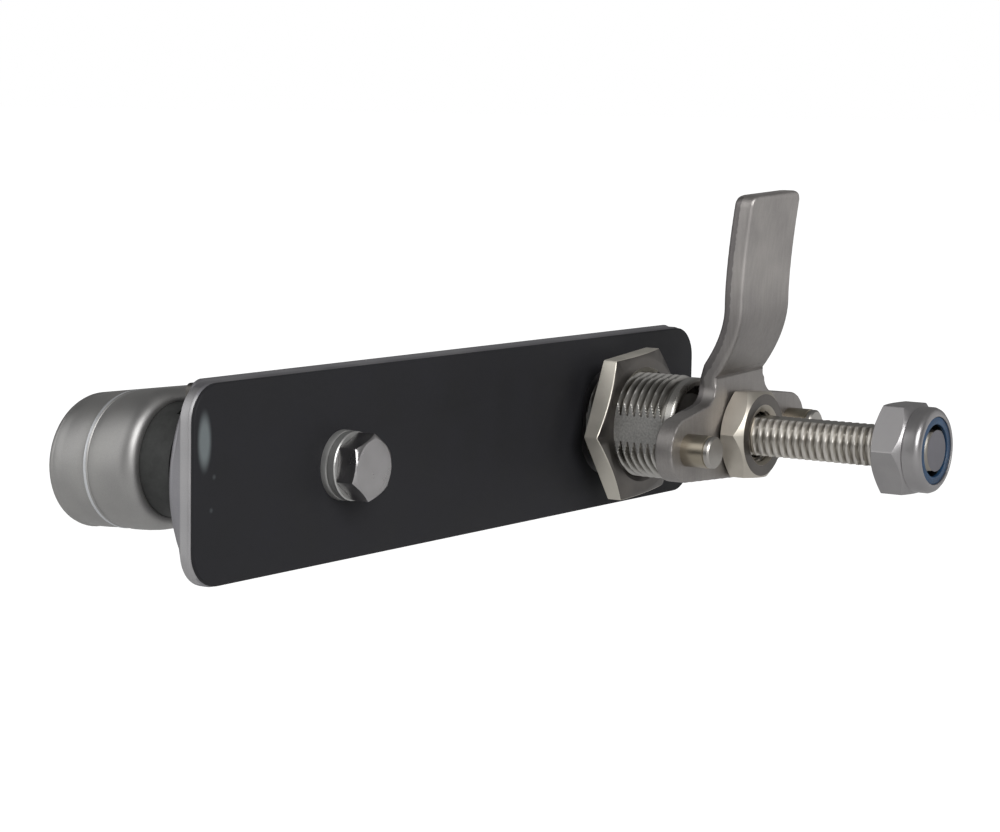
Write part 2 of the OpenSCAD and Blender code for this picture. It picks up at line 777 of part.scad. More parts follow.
// Black sleeve of the key lock, with a window in its skirt for the tongue
module lock_barrel() color("#3a3b3b") swung() translate([-lock_x, 0, 0]) difference() {
    bar_y(barrel_r, barrel_low, barrel_top);
    bar_y(plug_r + 0.05, barrel_low, barrel_top + cut);
    bar_y(plug_head_r + 0.05, plug_shoulder, barrel_top + cut);
    bar_y(barrel_r - 1.3, barrel_low - cut, skirt_top);
    slab_y(barrel_low - cut, skirt_top) polygon(
        [[0, 0], for (a = [-32, 15, 45, 75, 122]) 2 * barrel_r * [cos(a), sin(a)]]);
    translate([barrel_r - 0.6, grub_y, 0]) rotate([0, 90, 0]) cylinder(r = grub_r + 0.1, h = 2);
}

// Grub screw reached from the hollow of the grip
module barrel_screw() color("#6b6a69") swung()
    translate([-lock_x + barrel_r - 0.5, grub_y, 0]) rotate([0, 90, 0]) difference() {
        cylinder(r = grub_r, h = grub_l);
        translate([0, 0, grub_l - 1.6]) cylinder(r = 1.15, h = 2, $fn = 6);
    }

module cover_rivet() color("#b5b0aa") swung() translate([-lock_x + rivet_pitch, 0, 0]) {
    head_h = 0.8;
    head_r = 2.6;
    turn_y() polygon([
        [0, handle_top - rivet_l], [rivet_r, handle_top - rivet_l], [rivet_r, cover_top],
        [head_r, cover_top], [head_r - 0.2, cover_top + head_h * 0.6],
        [head_r - 1, cover_top + head_h], [0, cover_top + head_h]
    ]);
}

// Hole of the tongue screw with its countersink, through the tongue into the plug
module tongue_screw_hole() {
    bar_y(screw_r + fit, tongue_low - cut, wafer_first - 1.5);
    cone_y(screw_head_r + 0.1, screw_r + fit, tongue_low, tongue_low + screw_head_h);
}

module key_plug() color("#b39a5c") swung() translate([-lock_x, 0, 0]) difference() {
    union() {
        bar_y(plug_r, tongue_top, plug_shoulder);
        bar_y(plug_head_r, plug_shoulder, barrel_top);
        bar_y(plug_r + 0.3, barrel_top - cut, plug_face);
        slab_y(tongue_top - stub_l, skirt_top) double_d(stub_r, stub_flat);
    }
    slab_y(wafer_first - 1, plug_face + cut) square([keyway_w, 8.4], center = true);
    for (i = [0:wafer_count - 1])
        translate([0, wafer_first + i * wafer_pitch + wafer_t / 2, 0])
            cube([7.2, wafer_t + 0.2, 2 * plug_r + cut], center = true);
    tongue_screw_hole();
}

module lock_wafers() color("#c9b06a") swung() translate([-lock_x, 0, 0]) for (i = [0:wafer_count - 1])
    translate([0, wafer_first + i * wafer_pitch, 0]) difference() {
        slab_y(0, wafer_t) square([7, 9.4], center = true);
        slab_y(-cut, wafer_t + cut) square([keyway_w + 0.4, 6 + 0.3 * (i % 3)], center = true);
    }

// Flat tongue that turns under the keeper hook; it points up when the lock is open
module lock_tongue() color("#a9a5a1") swung() translate([-lock_x, 0, 0]) difference() {
    half_w = 3.2;
    slab_y(tongue_low, tongue_top) {
        circle(r = 6.6);
        translate([-half_w, 0]) square([2 * half_w, tongue_reach - 1.2]);
        translate([-half_w + 1.2, 0]) square([2 * half_w - 2.4, tongue_reach]);
        for (side = [-1, 1]) translate([side * (half_w - 1.2), tongue_reach - 1.2]) circle(r = 1.2);
    }
    slab_y(tongue_top - stub_l - 0.05, tongue_top + cut) double_d(stub_r + 0.05, stub_flat + 0.05);
    tongue_screw_hole();
}

module tongue_screw() color("#6b6a69") swung() translate([-lock_x, 0, 0]) {
    turn_y() polygon([
        [0, tongue_low], [screw_head_r, tongue_low], [screw_r, tongue_low + screw_head_h - 0.05],
        [screw_r, wafer_first - 2], [0, wafer_first - 2]
    ]);
}

// Cover over the keyhole: it lies toward the handle end and turns on its rivet
module dust_cover() color("#9d9893") swung() translate([-lock_x + rivet_pitch, 0, 0]) difference() {
    ear = 3.4;
    edge = 0.3;
    hull() for (rim = [[0, handle_top, cover_top - edge], [edge, cover_top - edge, cover_top]]) {
        bar_y(ear - rim[0], rim[1], rim[2], $fn = 32);
        translate([-rivet_pitch, 0, 0]) bar_y(cover_r - rim[0], rim[1], rim[2], $fn = 64);
    }
    bar_y(rivet_r + 0.05, handle_top - cut, cover_top + cut);
}

base_plate();
gasket();
boss_nut();
mounting_bolt();
flat_washer();
spring_washer();
seal_ring();
thrust_washer();
spindle();
retaining_ring();
draw_rod();
cam();
rod_pins();
cam_nut();
lock_nut();
nylon_insert();
handle_lever();
pivot_pin();
lock_barrel();
barrel_screw();
cover_rivet();
key_plug();
lock_wafers();
lock_tongue();
tongue_screw();
dust_cover();
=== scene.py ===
"""Looks of a lift-and-turn swing handle lock, built round its packed construction.

Every visible surface gets its finish here. Threads, cast edges and nut bevels are modelled as meshes
that stand for the plain solids of the construction; all sizes are in millimetres until a mesh is made.
"""
from __future__ import annotations

import logging
import math
from collections.abc import Callable, Sequence
from dataclasses import dataclass, field
from enum import Enum

import bpy
from mathutils import Matrix, Vector


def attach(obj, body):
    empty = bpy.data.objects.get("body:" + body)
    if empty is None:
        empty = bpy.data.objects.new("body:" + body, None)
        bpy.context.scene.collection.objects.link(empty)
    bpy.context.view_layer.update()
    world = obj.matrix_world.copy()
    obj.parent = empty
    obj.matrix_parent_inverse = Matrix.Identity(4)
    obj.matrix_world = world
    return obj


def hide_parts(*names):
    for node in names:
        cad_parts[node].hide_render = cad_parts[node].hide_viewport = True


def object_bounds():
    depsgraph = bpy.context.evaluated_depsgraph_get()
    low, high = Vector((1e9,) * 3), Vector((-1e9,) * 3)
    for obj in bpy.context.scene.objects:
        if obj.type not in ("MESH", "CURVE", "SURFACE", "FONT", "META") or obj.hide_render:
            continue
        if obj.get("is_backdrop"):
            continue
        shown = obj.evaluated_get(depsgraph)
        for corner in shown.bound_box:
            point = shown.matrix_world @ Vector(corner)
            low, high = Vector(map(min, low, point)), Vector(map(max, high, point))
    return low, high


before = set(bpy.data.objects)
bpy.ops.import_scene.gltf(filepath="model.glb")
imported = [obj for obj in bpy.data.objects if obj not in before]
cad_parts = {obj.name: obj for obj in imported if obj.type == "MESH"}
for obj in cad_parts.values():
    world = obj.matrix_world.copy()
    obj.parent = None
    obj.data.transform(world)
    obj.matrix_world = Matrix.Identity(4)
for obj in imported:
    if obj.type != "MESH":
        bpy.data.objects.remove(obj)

MM = 0.001
TAU = 2 * math.pi
NOISE = (0.3, 0.7)  # noise values lie mostly between these
LOG = logging.getLogger("swing_handle_lock")

Point = tuple[float, float, float]
Flat = tuple[float, float]
Varying = float | Callable[[float], float]
Profile = list[tuple[Varying, Varying]]
Piece = bpy.types.Object
Tree = bpy.types.NodeTree
Socket = bpy.types.NodeSocket


class Body(Enum):
    """Moving bodies of the construction."""

    BASE = "base"
    SPINDLE = "spindle"
    ROD = "draw_rod"
    HANDLE = "handle"
    PLUG = "key_plug"
    COVER = "dust_cover"


class Cut(Enum):
    """Ways in which one solid changes another."""

    DIFFERENCE = "DIFFERENCE"
    UNION = "UNION"


# Small helpers for colours, nodes and meshes


def linear(code: str) -> tuple[float, float, float, float]:
    """Turns an sRGB hex colour such as #8d8987 into linear light.

    Args:
        code: Colour as # and six hex digits.

    Returns:
        Linear red, green and blue, and an alpha of 1.
    """
    parts = [int(code[i:i + 2], 16) / 255 for i in (1, 3, 5)]
    red, green, blue = (c / 12.92 if c <= 0.04045 else ((c + 0.055) / 1.055) ** 2.4 for c in parts)
    return red, green, blue, 1.0


def per_mm(size: float) -> float:
    """Texture scale at which one cell of a pattern is this many millimetres wide."""
    return 1 / (size * MM)


def add_node(tree: Tree, kind: str, values: dict | None = None, links: dict | None = None,
             **settings: object) -> bpy.types.Node:
    """Adds a node with its settings, socket values and links.

    Args:
        tree: Node tree that gets the node.
        kind: Type name of the node.
        values: Default value of each input socket, by name or index.
        links: Output socket that feeds each input socket, by name or index.
        settings: Attributes of the node itself.

    Returns:
        The new node.
    """
    made = tree.nodes.new(kind)
    for name, value in settings.items():
        setattr(made, name, value)
    for socket, value in (values or {}).items():
        made.inputs[socket].default_value = value
    for socket, source in (links or {}).items():
        tree.links.new(source, made.inputs[socket])
    return made
def empty_tree(owner: bpy.types.Material | bpy.types.World) -> Tree:
    """Switches a material or a world to nodes.

    Args:
        owner: The material or world.

    Returns:
        Its node tree, emptied.
    """
    owner.use_nodes = True
    owner.node_tree.nodes.clear()
    return owner.node_tree


def add_object(name: str, data: bpy.types.ID) -> Piece:
    """Adds an object to the scene.

    Args:
        name: Name of the object.
        data: Its mesh, lamp or camera.

    Returns:
        The object.
    """
    made = bpy.data.objects.new(name, data)
    bpy.context.scene.collection.objects.link(made)
    return made
def mesh_piece(name: str, points: Sequence[Sequence[float]], faces: Sequence[Sequence[int]],
               sharp: float = 30.0) -> Piece:
    """Makes an object from points in millimetres.

    Args:
        name: Name of the piece.
        points: Corners of the mesh.
        faces: Corner numbers of each face.
        sharp: Angle in degrees from which an edge stays sharp.

    Returns:
        The object, linked to the scene.
    """
    mesh = bpy.data.meshes.new(name)
    mesh.from_pydata([Vector(p) * MM for p in points], [], faces)
    mesh.validate()
    return soften(add_object(name, mesh), sharp)


def soften(piece: Piece, sharp: float) -> Piece:
    """Shades a piece smooth and keeps its sharp edges.

    Args:
        piece: The piece.
        sharp: Angle in degrees from which an edge stays sharp.

    Returns:
        The same piece.
    """
    piece.data.polygons.foreach_set("use_smooth", [True] * len(piece.data.polygons))
    piece.data.set_sharp_from_angle(angle=math.radians(sharp))
    return piece


def share(value: float) -> float:
    """Value held between 0 and 1."""
    return min(1.0, max(0.0, value))


def eased(value: float) -> float:
    """Smooth step from 0 to 1 of a value held between them."""
    return share(value) ** 2 * (3 - 2 * share(value))


def at(value: Varying, angle: float) -> float:
    """Value of a size that may vary round the axis."""
    return value(angle) if callable(value) else value


def flattened(radius: float, flat: float, across: float) -> float:
    """Radius of a round form with two flats; across is the cosine of the angle off the middle of a flat."""
    return min(radius, flat / abs(across)) if abs(across) > 0.5 else radius


def even_angles(steps: int) -> list[float]:
    """Evenly spaced angles of a full round."""
    return [TAU * i / steps for i in range(steps)]


def four_zones(low: float, high: float) -> list[Flat]:
    """The same zone of angles in all four quarters of a round."""
    return [(low, high), (180 - high, 180 - low), (180 + low, 180 + high), (360 - high, 360 - low)]


def focused_angles(coarse: float, fine: float, zones: Sequence[Flat]) -> list[float]:
    """Angles of a full round with finer steps in some zones.

    Args:
        coarse: Step in degrees outside the zones.
        fine: Step in degrees inside them.
        zones: Start and end of each zone in degrees, from 0 to 360.

    Returns:
        Angles in radians, in rising order.
    """
    angles, here = [], 0.0
    while here < 360 - fine / 2:
        angles.append(math.radians(here))
        here += fine if any(low <= here < high for low, high in zones) else coarse
    return angles


def turned(name: str, profile: Profile, angles: Sequence[float], ring: bool = False,
           centre: Flat = (0, 0), sharp: float = 30.0) -> Piece:
    """Turns a profile, which may vary with the angle, round an axis along Y.

    Args:
        name: Name of the piece.
        profile: Radius and height of each point, in millimetres.
        angles: Angles round the axis, from +X towards +Z.
        ring: True where the profile closes on itself, as on a ring; otherwise both ends are capped.
        centre: Where the axis crosses X and Z.
        sharp: Angle in degrees from which an edge stays sharp.

    Returns:
        The piece.
    """
    rings = [[(centre[0] + at(radius, a) * math.cos(a), at(height, a),
               centre[1] + at(radius, a) * math.sin(a)) for a in angles] for radius, height in profile]
    return stacked(name, rings, sharp, closed=ring)

def stacked(name: str, rings: Sequence[Sequence[Point]], sharp: float = 30.0,
            apex: int | None = None, closed: bool = False) -> Piece:
    """Joins rings of equally many points into one solid.

    Args:
        name: Name of the piece.
        rings: Points of each ring, in millimetres.
        sharp: Angle in degrees from which an edge stays sharp.
        apex: Number of the point about which a ring is symmetric; the caps are then strips across it.
        closed: True where the last ring joins the first, so that there are no caps.

    Returns:
        The piece.
    """
    count, rows = len(rings[0]), len(rings)
    points = [p for ring in rings for p in ring]
    faces = []
    for i in range(rows if closed else rows - 1):
        here, beyond = i * count, (i + 1) % rows * count
        for k in range(count):
            n = (k + 1) % count
            faces.append((here + k, beyond + k, beyond + n, here + n))
    caps = [tuple(range(count))]
    if apex is not None:
        caps = [tuple(dict.fromkeys((j, j + 1, (2 * apex - j - 1) % count, (2 * apex - j) % count)))
                for j in range(apex, apex + count // 2)]
    for cap in [] if closed else caps:
        faces.append(cap)
        faces.append(tuple((rows - 1) * count + k for k in reversed(cap)))
    return outward(mesh_piece(name, points, faces, sharp))


def outward(piece: Piece) -> Piece:
    """Turns all faces of a closed piece outward, by the sign of its volume.

    Args:
        piece: The piece.

    Returns:
        The same piece.
    """
    mesh = piece.data
    mesh.calc_loop_triangles()
    volume = 0.0
    for triangle in mesh.loop_triangles:
        a, b, c = (mesh.vertices[i].co for i in triangle.vertices)
        volume += a.dot(b.cross(c))
    if volume < 0:
        mesh.flip_normals()
    return piece


def reshape(piece: Piece, sharp: float = 30.0) -> Piece:
    """Puts the result of a piece's modifiers into its mesh.

    Args:
        piece: The piece.
        sharp: Angle in degrees from which an edge stays sharp.

    Returns:
        The same piece.
    """
    graph = bpy.context.evaluated_depsgraph_get()
    graph.update()
    mesh = bpy.data.meshes.new_from_object(piece.evaluated_get(graph))
    piece.modifiers.clear()
    piece.data = mesh
    return soften(piece, sharp)


def cut(piece: Piece, tools: Sequence[Piece], how: Cut = Cut.DIFFERENCE, sharp: float = 30.0) -> Piece:
    """Cuts or joins a piece with tool solids, and removes the tools.

    Args:
        piece: The piece.
        tools: Closed solids.
        how: Whether they are cut away or added.
        sharp: Angle in degrees from which an edge stays sharp.

    Returns:
        The same piece.
    """
    for tool in tools:
        change = piece.modifiers.new("cut", "BOOLEAN")
        change.operation = how.value
        change.solver = "EXACT"
        change.object = tool
    reshape(piece, sharp)
    for tool in tools:
        bpy.data.objects.remove(tool)
    return piece


def join(name: str, parts: Sequence[Piece], sharp: float = 30.0) -> Piece:
    """Joins overlapping closed shells into one object.

    Args:
        name: Name of the new piece.
        parts: The shells, which are removed.
        sharp: Angle in degrees from which an edge stays sharp.

    Returns:
        The new piece.
    """
    points: list[Vector] = []
    faces: list[tuple[int, ...]] = []
    for part in parts:
        start = len(points)
        points += [v.co / MM for v in part.data.vertices]
        faces += [tuple(start + i for i in f.vertices) for f in part.data.polygons]
        bpy.data.objects.remove(part)
    return mesh_piece(name, points, faces, sharp)


def cast_edges(piece: Piece, voxel: float, rounds: int) -> Piece:
    """Fuses a piece's shells and rounds its edges and inner corners, as on a casting.

    Args:
        piece: Closed shells that may overlap.
        voxel: Grid of the new mesh, in millimetres.
        rounds: Smoothing rounds; more give softer edges.

    Returns:
        The same piece with its new mesh.
    """
    remesh = piece.modifiers.new("fuse", "REMESH")
    remesh.mode = "VOXEL"
    remesh.voxel_size = voxel * MM
    smooth = piece.modifiers.new("round", "SMOOTH")
    smooth.factor = 0.5
    smooth.iterations = rounds
    return reshape(piece, 60)


def prism(name: str, outline: Sequence[Flat], low: float, high: float,
          place: Callable[[float, float, float], Point]) -> Piece:
    """Extrudes a flat outline; place turns outline coordinates and depth into a point."""
    return stacked(name, [[place(a, b, depth) for a, b in outline] for depth in (low, high)])


def across_y(a: float, b: float, depth: float) -> Point:
    """Outline in x and z, extruded along Y."""
    return a, depth, b


def across_z(a: float, b: float, depth: float) -> Point:
    """Outline in x and y, extruded along Z."""
    return a, b, depth


def bar(name: str, radius: float, low: float, high: float, centre: Flat = (0, 0), steps: int = 64) -> Piece:
    """Round bar along Y, for cutting bores."""
    return turned(name, [(radius, low), (radius, high)], even_angles(steps), centre=centre)


def cross_bar(name: str, radius: float, height: float, half: float, steps: int = 48) -> Piece:
    """Round bar along Z at a height over the gasket, for eyes and pin holes."""
    return prism(name, arc((0, height), radius, 0, 360, steps)[:-1], -half, half, across_z)


def arc(centre: Flat, radius: float, start: float, end: float, steps: int) -> list[Flat]:
    """Points of an arc, from one angle in degrees to another."""
    angles = [math.radians(start + (end - start) * i / steps) for i in range(steps + 1)]
    return [(centre[0] + radius * math.cos(a), centre[1] + radius * math.sin(a)) for a in angles]


def swing(piece: Piece, degrees: float) -> Piece:
    """Turns a mesh about the spindle axis, +X end down for a positive angle."""
    piece.data.transform(Matrix.Rotation(math.radians(degrees), 4, "Y"))
    return piece


# Finishes


@dataclass(frozen=True)
class Finish:
    """What every finish has: its name, its colours in sRGB hex, and its roughness."""

    name: str
    colour: str
    shade: str
    roughness: float

    def start(self) -> tuple[bpy.types.Material, Tree, bpy.types.Node, Socket]:
        """Makes a material with an empty surface.

        Returns:
            The material, its tree, its shader and the object's coordinates.
        """
        material = bpy.data.materials.new(self.name)
        tree = empty_tree(material)
        shader = add_node(tree, "ShaderNodeBsdfPrincipled", {"Roughness": self.roughness})
        add_node(tree, "ShaderNodeOutputMaterial", links={"Surface": shader.outputs["BSDF"]})
        return material, tree, shader, add_node(tree, "ShaderNodeTexCoord").outputs["Object"]

    def patches(self, tree: Tree, place: Socket, noise: dict[str, float],
                limits: Flat = NOISE) -> tuple[Socket, Socket]:
        """Lets the colour wander between its shade and its full tone in soft patches.

        Args:
            tree: Tree of the material.
            place: Coordinates.
            noise: Scale and detail of the patches.
            limits: Noise values at which the shade ends and the full tone starts.

        Returns:
            The noise and the colour.
        """
        soft = add_node(tree, "ShaderNodeTexNoise", noise, {"Vector": place}).outputs["Fac"]
        tone = add_node(tree, "ShaderNodeValToRGB", links={"Fac": soft})
        for stop, position, code in zip(tone.color_ramp.elements, limits, (self.shade, self.colour)):
            stop.position = position
            stop.color = linear(code)
        return soft, tone.outputs["Color"]

    def strengthened(self, tree: Tree, base: Socket, pattern: Socket, factors: Flat,
                     limits: Flat = NOISE, fall: str = "LINEAR") -> Socket:
        """Multiplies a colour by a factor that follows a pattern.

        Args:
            tree: Tree of the material.
            base: Colour so far.
            pattern: Value that the factor follows.
            factors: Factor at the low and at the high limit.
            limits: Low and high value of the pattern.
            fall: How the factor goes from one limit to the other.

        Returns:
            The new colour.
        """
        factor = add_node(tree, "ShaderNodeMapRange", {
            "From Min": limits[0], "From Max": limits[1], "To Min": factors[0], "To Max": factors[1],
        }, {"Value": pattern}, interpolation_type=fall)
        return add_node(tree, "ShaderNodeMix", {"Factor": 1.0}, {6: base, 7: factor.outputs["Result"]},
                        data_type="RGBA", blend_type="MULTIPLY").outputs[2]

    def close(self, tree: Tree, shader: bpy.types.Node, colour: Socket, relief: tuple[Socket, float],
              gloss: tuple[Socket, float, float] | None = None) -> None:
        """Connects the surface to the shader.

        Args:
            tree: Tree of the material.
            shader: Its shader.
            colour: Final colour.
            relief: Height pattern and its depth in millimetres.
            gloss: Pattern that the roughness follows, and how far it goes below and above its value.
        """
        bump = add_node(tree, "ShaderNodeBump", {"Strength": 1.0, "Distance": relief[1] * MM},
                        {"Height": relief[0]})
        tree.links.new(colour, shader.inputs["Base Color"])
        tree.links.new(bump.outputs["Normal"], shader.inputs["Normal"])
        if gloss:
            rough = add_node(tree, "ShaderNodeMapRange", {
                "From Min": NOISE[0], "From Max": NOISE[1],
                "To Min": self.roughness - gloss[1], "To Max": self.roughness + gloss[2],
            }, {"Value": gloss[0]})
            tree.links.new(rough.outputs["Result"], shader.inputs["Roughness"])

    def build(self) -> bpy.types.Material:
        """Makes the material."""
        raise NotImplementedError


@dataclass(frozen=True)
class CastStainless(Finish):
    """Investment-cast stainless steel, shot-blasted: a grey satin skin with fine grit and soft blotches."""

    grit: float = 0.15
    grit_depth: float = 0.004
    blotch: float = 9.0
    speck: float = 0.06
    streak: float = 0.0
    belt_line: float = 0.5
    metal: float = 1.0
    # Switches on the parting band and the painted shade below the crank
    parting: bool = False
    parting_grain: float = 0.8
    parting_tone: str = "#5d595b"
    # Heights between which the painted shade below the crank fades out
    crank: Flat = (20.0, 30.0)

    def build(self) -> bpy.types.Material:
        """Makes the material.

        Returns:
            The material.
        """
        material, tree, shader, place = self.start()
        shader.inputs["Metallic"].default_value = self.metal
        blotches, base = self.patches(tree, place, {"Scale": per_mm(self.blotch), "Detail": 2.0})
        # Blasting leaves dimples of under 0.1 mm; they are drawn coarser so that they show
        grit = add_node(tree, "ShaderNodeTexNoise", {"Scale": per_mm(self.grit), "Detail": 2.0},
                        {"Vector": place}).outputs["Fac"]
        base = self.strengthened(tree, base, grit, (1 - self.speck, 1 + self.speck))
        if self.streak > 0:
            base = self.grinding(tree, place, base)
        if self.parting:
            base = self.painted_shade_and_parting_band(tree, place, base)
        self.close(tree, shader, base, (grit, self.grit_depth), (blotches, 0.04, 0.05))
        return material

    def grinding(self, tree: Tree, place: Socket, base: Socket) -> Socket:
        """Adds faint lines along Z, left by a belt before blasting; they are drawn wide so that they show.

        Args:
            tree: Tree of the material.
            place: Coordinates.
            base: Colour so far.

        Returns:
            The new colour.
        """
        drawn = add_node(tree, "ShaderNodeMapping", {"Scale": (1.0, 1.0, 0.06)}, {"Vector": place})
        lines = add_node(tree, "ShaderNodeTexNoise", {"Scale": per_mm(self.belt_line), "Detail": 2.0},
                         {"Vector": drawn.outputs["Vector"]})
        factors = (1 - self.streak / 2, 1 + self.streak / 3)
        return self.strengthened(tree, base, lines.outputs["Fac"], factors)

    def painted_shade_and_parting_band(self, tree: Tree, place: Socket, base: Socket) -> Socket:
        """Paints shade on hub, ears and lower tongue, darker below the crank, and darkens the ragged band
        of the parting line.

        Args:
            tree: Tree of the material.
            place: Coordinates.
            base: Colour so far.

        Returns:
            The new colour.
        """
        height = add_node(tree, "ShaderNodeSeparateXYZ", links={"Vector": place}).outputs["Z"]
        # Painted shade: everything below the crank is darkened, the upper tongue slightly lightened
        low, high = (z * MM for z in self.crank)
        base = self.strengthened(tree, base, height, (0.8, 1.04), (low, high), "SMOOTHSTEP")
        mark = add_node(tree, "ShaderNodeAttribute", attribute_name="parting")
        ragged = add_node(tree, "ShaderNodeTexNoise", {"Scale": per_mm(self.parting_grain), "Detail": 3.0},
                          {"Vector": place})
        edge = add_node(tree, "ShaderNodeMath", links={0: mark.outputs["Fac"], 1: ragged.outputs["Fac"]},
                        operation="ADD")
        amount = add_node(tree, "ShaderNodeMapRange", {"From Min": 0.92, "From Max": 1.12, "To Max": 0.6},
                          {"Value": edge.outputs[0]})
        return add_node(tree, "ShaderNodeMix", {7: linear(self.parting_tone)},
                        {"Factor": amount.outputs["Result"], 6: base}, data_type="RGBA").outputs[2]


@dataclass(frozen=True)
class MachinedStainless(Finish):
    """Machined stainless steel: bright, with fine tool marks that run round the Y axis or along a facet."""

    marks: float = 0.35
    marks_depth: float = 0.004
    smear: float = 6.0
    metal: float = 1.0
    # Colour of the painted shade at the roots of a thread
    root: str = "#5b5751"
    thread_low: float = 0.0
    thread_high: float = 0.0

    def build(self) -> bpy.types.Material:
        """Makes the material.

        Returns:
            The material.
        """
        material, tree, shader, place = self.start()
        shader.inputs["Metallic"].default_value = self.metal
        smears, base = self.patches(tree, place, {"Scale": per_mm(self.smear), "Detail": 3.0})
        # Feed marks of about 0.05 mm are drawn coarser so that they show
        finer = 9.0
        stretched = add_node(tree, "ShaderNodeMapping", {"Scale": (1.0, finer, 1.0)}, {"Vector": place})
        lines = add_node(tree, "ShaderNodeTexNoise", {"Scale": per_mm(self.marks * finer), "Detail": 2.0},
                         {"Vector": stretched.outputs["Vector"]})
        if self.thread_high > 0:
            base = self.painted_root_shade(tree, place, base)
        self.close(tree, shader, base, (lines.outputs["Fac"], self.marks_depth), (smears, 0.06, 0.07))
        return material

    def painted_root_shade(self, tree: Tree, place: Socket, base: Socket) -> Socket:
        """Darkens the roots of a thread by the distance from its axis: painted shade in the grooves.

        Args:
            tree: Tree of the material.
            place: Coordinates.
            base: Colour so far.

        Returns:
            The new colour.
        """
        flat = add_node(tree, "ShaderNodeVectorMath", {1: (1.0, 0.0, 1.0)}, {0: place},
                        operation="MULTIPLY")
        radius = add_node(tree, "ShaderNodeVectorMath", links={0: flat.outputs["Vector"]},
                          operation="LENGTH")
        crest = add_node(tree, "ShaderNodeMapRange", {"From Min": self.thread_low * MM,
                                                      "From Max": self.thread_high * MM},
                         {"Value": radius.outputs["Value"]})
        return add_node(tree, "ShaderNodeMix", {6: linear(self.root)},
                        {"Factor": crest.outputs["Result"], 7: base}, data_type="RGBA").outputs[2]


@dataclass(frozen=True)
class MouldedRubber(Finish):
    """Moulded nitrile rubber: near black, with a fine matte grain and a soft sheen."""

    sheen_and_spots: bool = False
    cloud: float = 11.0
    grain: float = 0.4
    grain_depth: float = 0.012
    sheen_and_spot_tone: str = "#737a7c"

    def build(self) -> bpy.types.Material:
        """Makes the material.

        Returns:
            The material.
        """
        material, tree, shader, place = self.start()
        shader.inputs["IOR"].default_value = 1.52
        shader.inputs["Specular IOR Level"].default_value = 0.25
        shader.inputs["Sheen Weight"].default_value = 0.05
        shader.inputs["Sheen Roughness"].default_value = 0.4
        clouds, base = self.patches(tree, place, {"Scale": per_mm(self.cloud), "Detail": 4.0}, (0.35, 0.7))
        if self.sheen_and_spots:
            base = self.painted_sheen_and_spots(tree, place, base)
        # The mould's grain is about 0.1 mm; it is drawn coarser so that it shows
        grain = add_node(tree, "ShaderNodeTexNoise", {"Scale": per_mm(self.grain), "Detail": 3.0},
                         {"Vector": place})
        self.close(tree, shader, base, (grain.outputs["Fac"], self.grain_depth), (clouds, 0.06, 0.08))
        return material

    def painted_sheen_and_spots(self, tree: Tree, place: Socket, base: Socket) -> Socket:
        """Paints a pale sheen streak along the upper left edge, a painted reflection, and two small pale
        spots below it.

        Args:
            tree: Tree of the material.
            place: Coordinates.
            base: Colour so far.

        Returns:
            The new colour.
        """
        marks = None
        # The first entry is a painted sheen, the reflection of a lamp on the rubber; the other two are
        # small pale spots
        for x, z, half_x, half_z, soft, amount in (
                (-120.9, 7.3, 2.0, 5.6, 0.6, 1.0), (-118.5, 1.4, 0.6, 0.6, 0.9, 0.25),
                (-119.2, -3.9, 0.6, 0.6, 0.9, 0.25)):
            moved = add_node(tree, "ShaderNodeVectorMath", {1: (-x * MM, 0.0, -z * MM)}, {0: place},
                             operation="ADD")
            scaled = add_node(tree, "ShaderNodeVectorMath",
                              {1: (1 / (half_x * MM), 0.0, 1 / (half_z * MM))},
                              {0: moved.outputs["Vector"]}, operation="MULTIPLY")
            off = add_node(tree, "ShaderNodeVectorMath", links={0: scaled.outputs["Vector"]},
                           operation="LENGTH")
            mark = add_node(tree, "ShaderNodeMapRange",
                            {"From Min": 1.0, "From Max": 1.0 - soft, "To Max": amount},
                            {"Value": off.outputs["Value"]}, interpolation_type="SMOOTHSTEP").outputs[0]
            marks = mark if marks is None else add_node(
                tree, "ShaderNodeMath", links={0: marks, 1: mark}, operation="MAXIMUM").outputs[0]
        return add_node(tree, "ShaderNodeMix", {7: linear(self.sheen_and_spot_tone)}, {"Factor": marks, 6: base},
                        data_type="RGBA").outputs[2]


@dataclass(frozen=True)
class Coating(Finish):
    """Matte coating or plain moulded plastic: a dielectric with a fine grain and slight clouds."""

    ior: float = 1.5
    cloud: float = 2.5
    grain: float = 0.5
    grain_depth: float = 0.02
    scatter: float = 0.0

    def build(self) -> bpy.types.Material:
        """Makes the material.

        Returns:
            The material.
        """
        material, tree, shader, place = self.start()
        shader.inputs["IOR"].default_value = self.ior
        shader.inputs["Subsurface Weight"].default_value = self.scatter
        shader.inputs["Subsurface Scale"].default_value = MM
        clouds = {"Scale": per_mm(self.cloud), "Detail": 5.0, "Roughness": 0.65}
        base = self.patches(tree, place, clouds, (0.35, 0.65))[1]
        grain = add_node(tree, "ShaderNodeTexNoise", {"Scale": per_mm(self.grain), "Detail": 3.0},
                         {"Vector": place})
        self.close(tree, shader, base, (grain.outputs["Fac"], self.grain_depth))
        return material


# Shot-blasted castings: a soft grey satin without clear reflections
CAST = CastStainless("blasted_cast_stainless", "#adacaa", "#9e9d9c", 0.5)
# The cam's casting gets painted shade below the crank, besides its parting band
CAM_CAST = CastStainless("blasted_cast_stainless_cam", "#b5b1ae", "#a4a09e", 0.5, parting=True,
                         streak=0.12)
PLATE_CAST = CastStainless("blasted_cast_stainless_plate", "#a2a1a4", "#96959a", 0.52)
# The plate's straight edge wall facing -X is painted paler than the plate: a painted highlight
PLATE_EDGE_HIGHLIGHT = CastStainless("blasted_cast_stainless_edge_painted_highlight", "#b6b5b6", "#a8a7a9", 0.5)
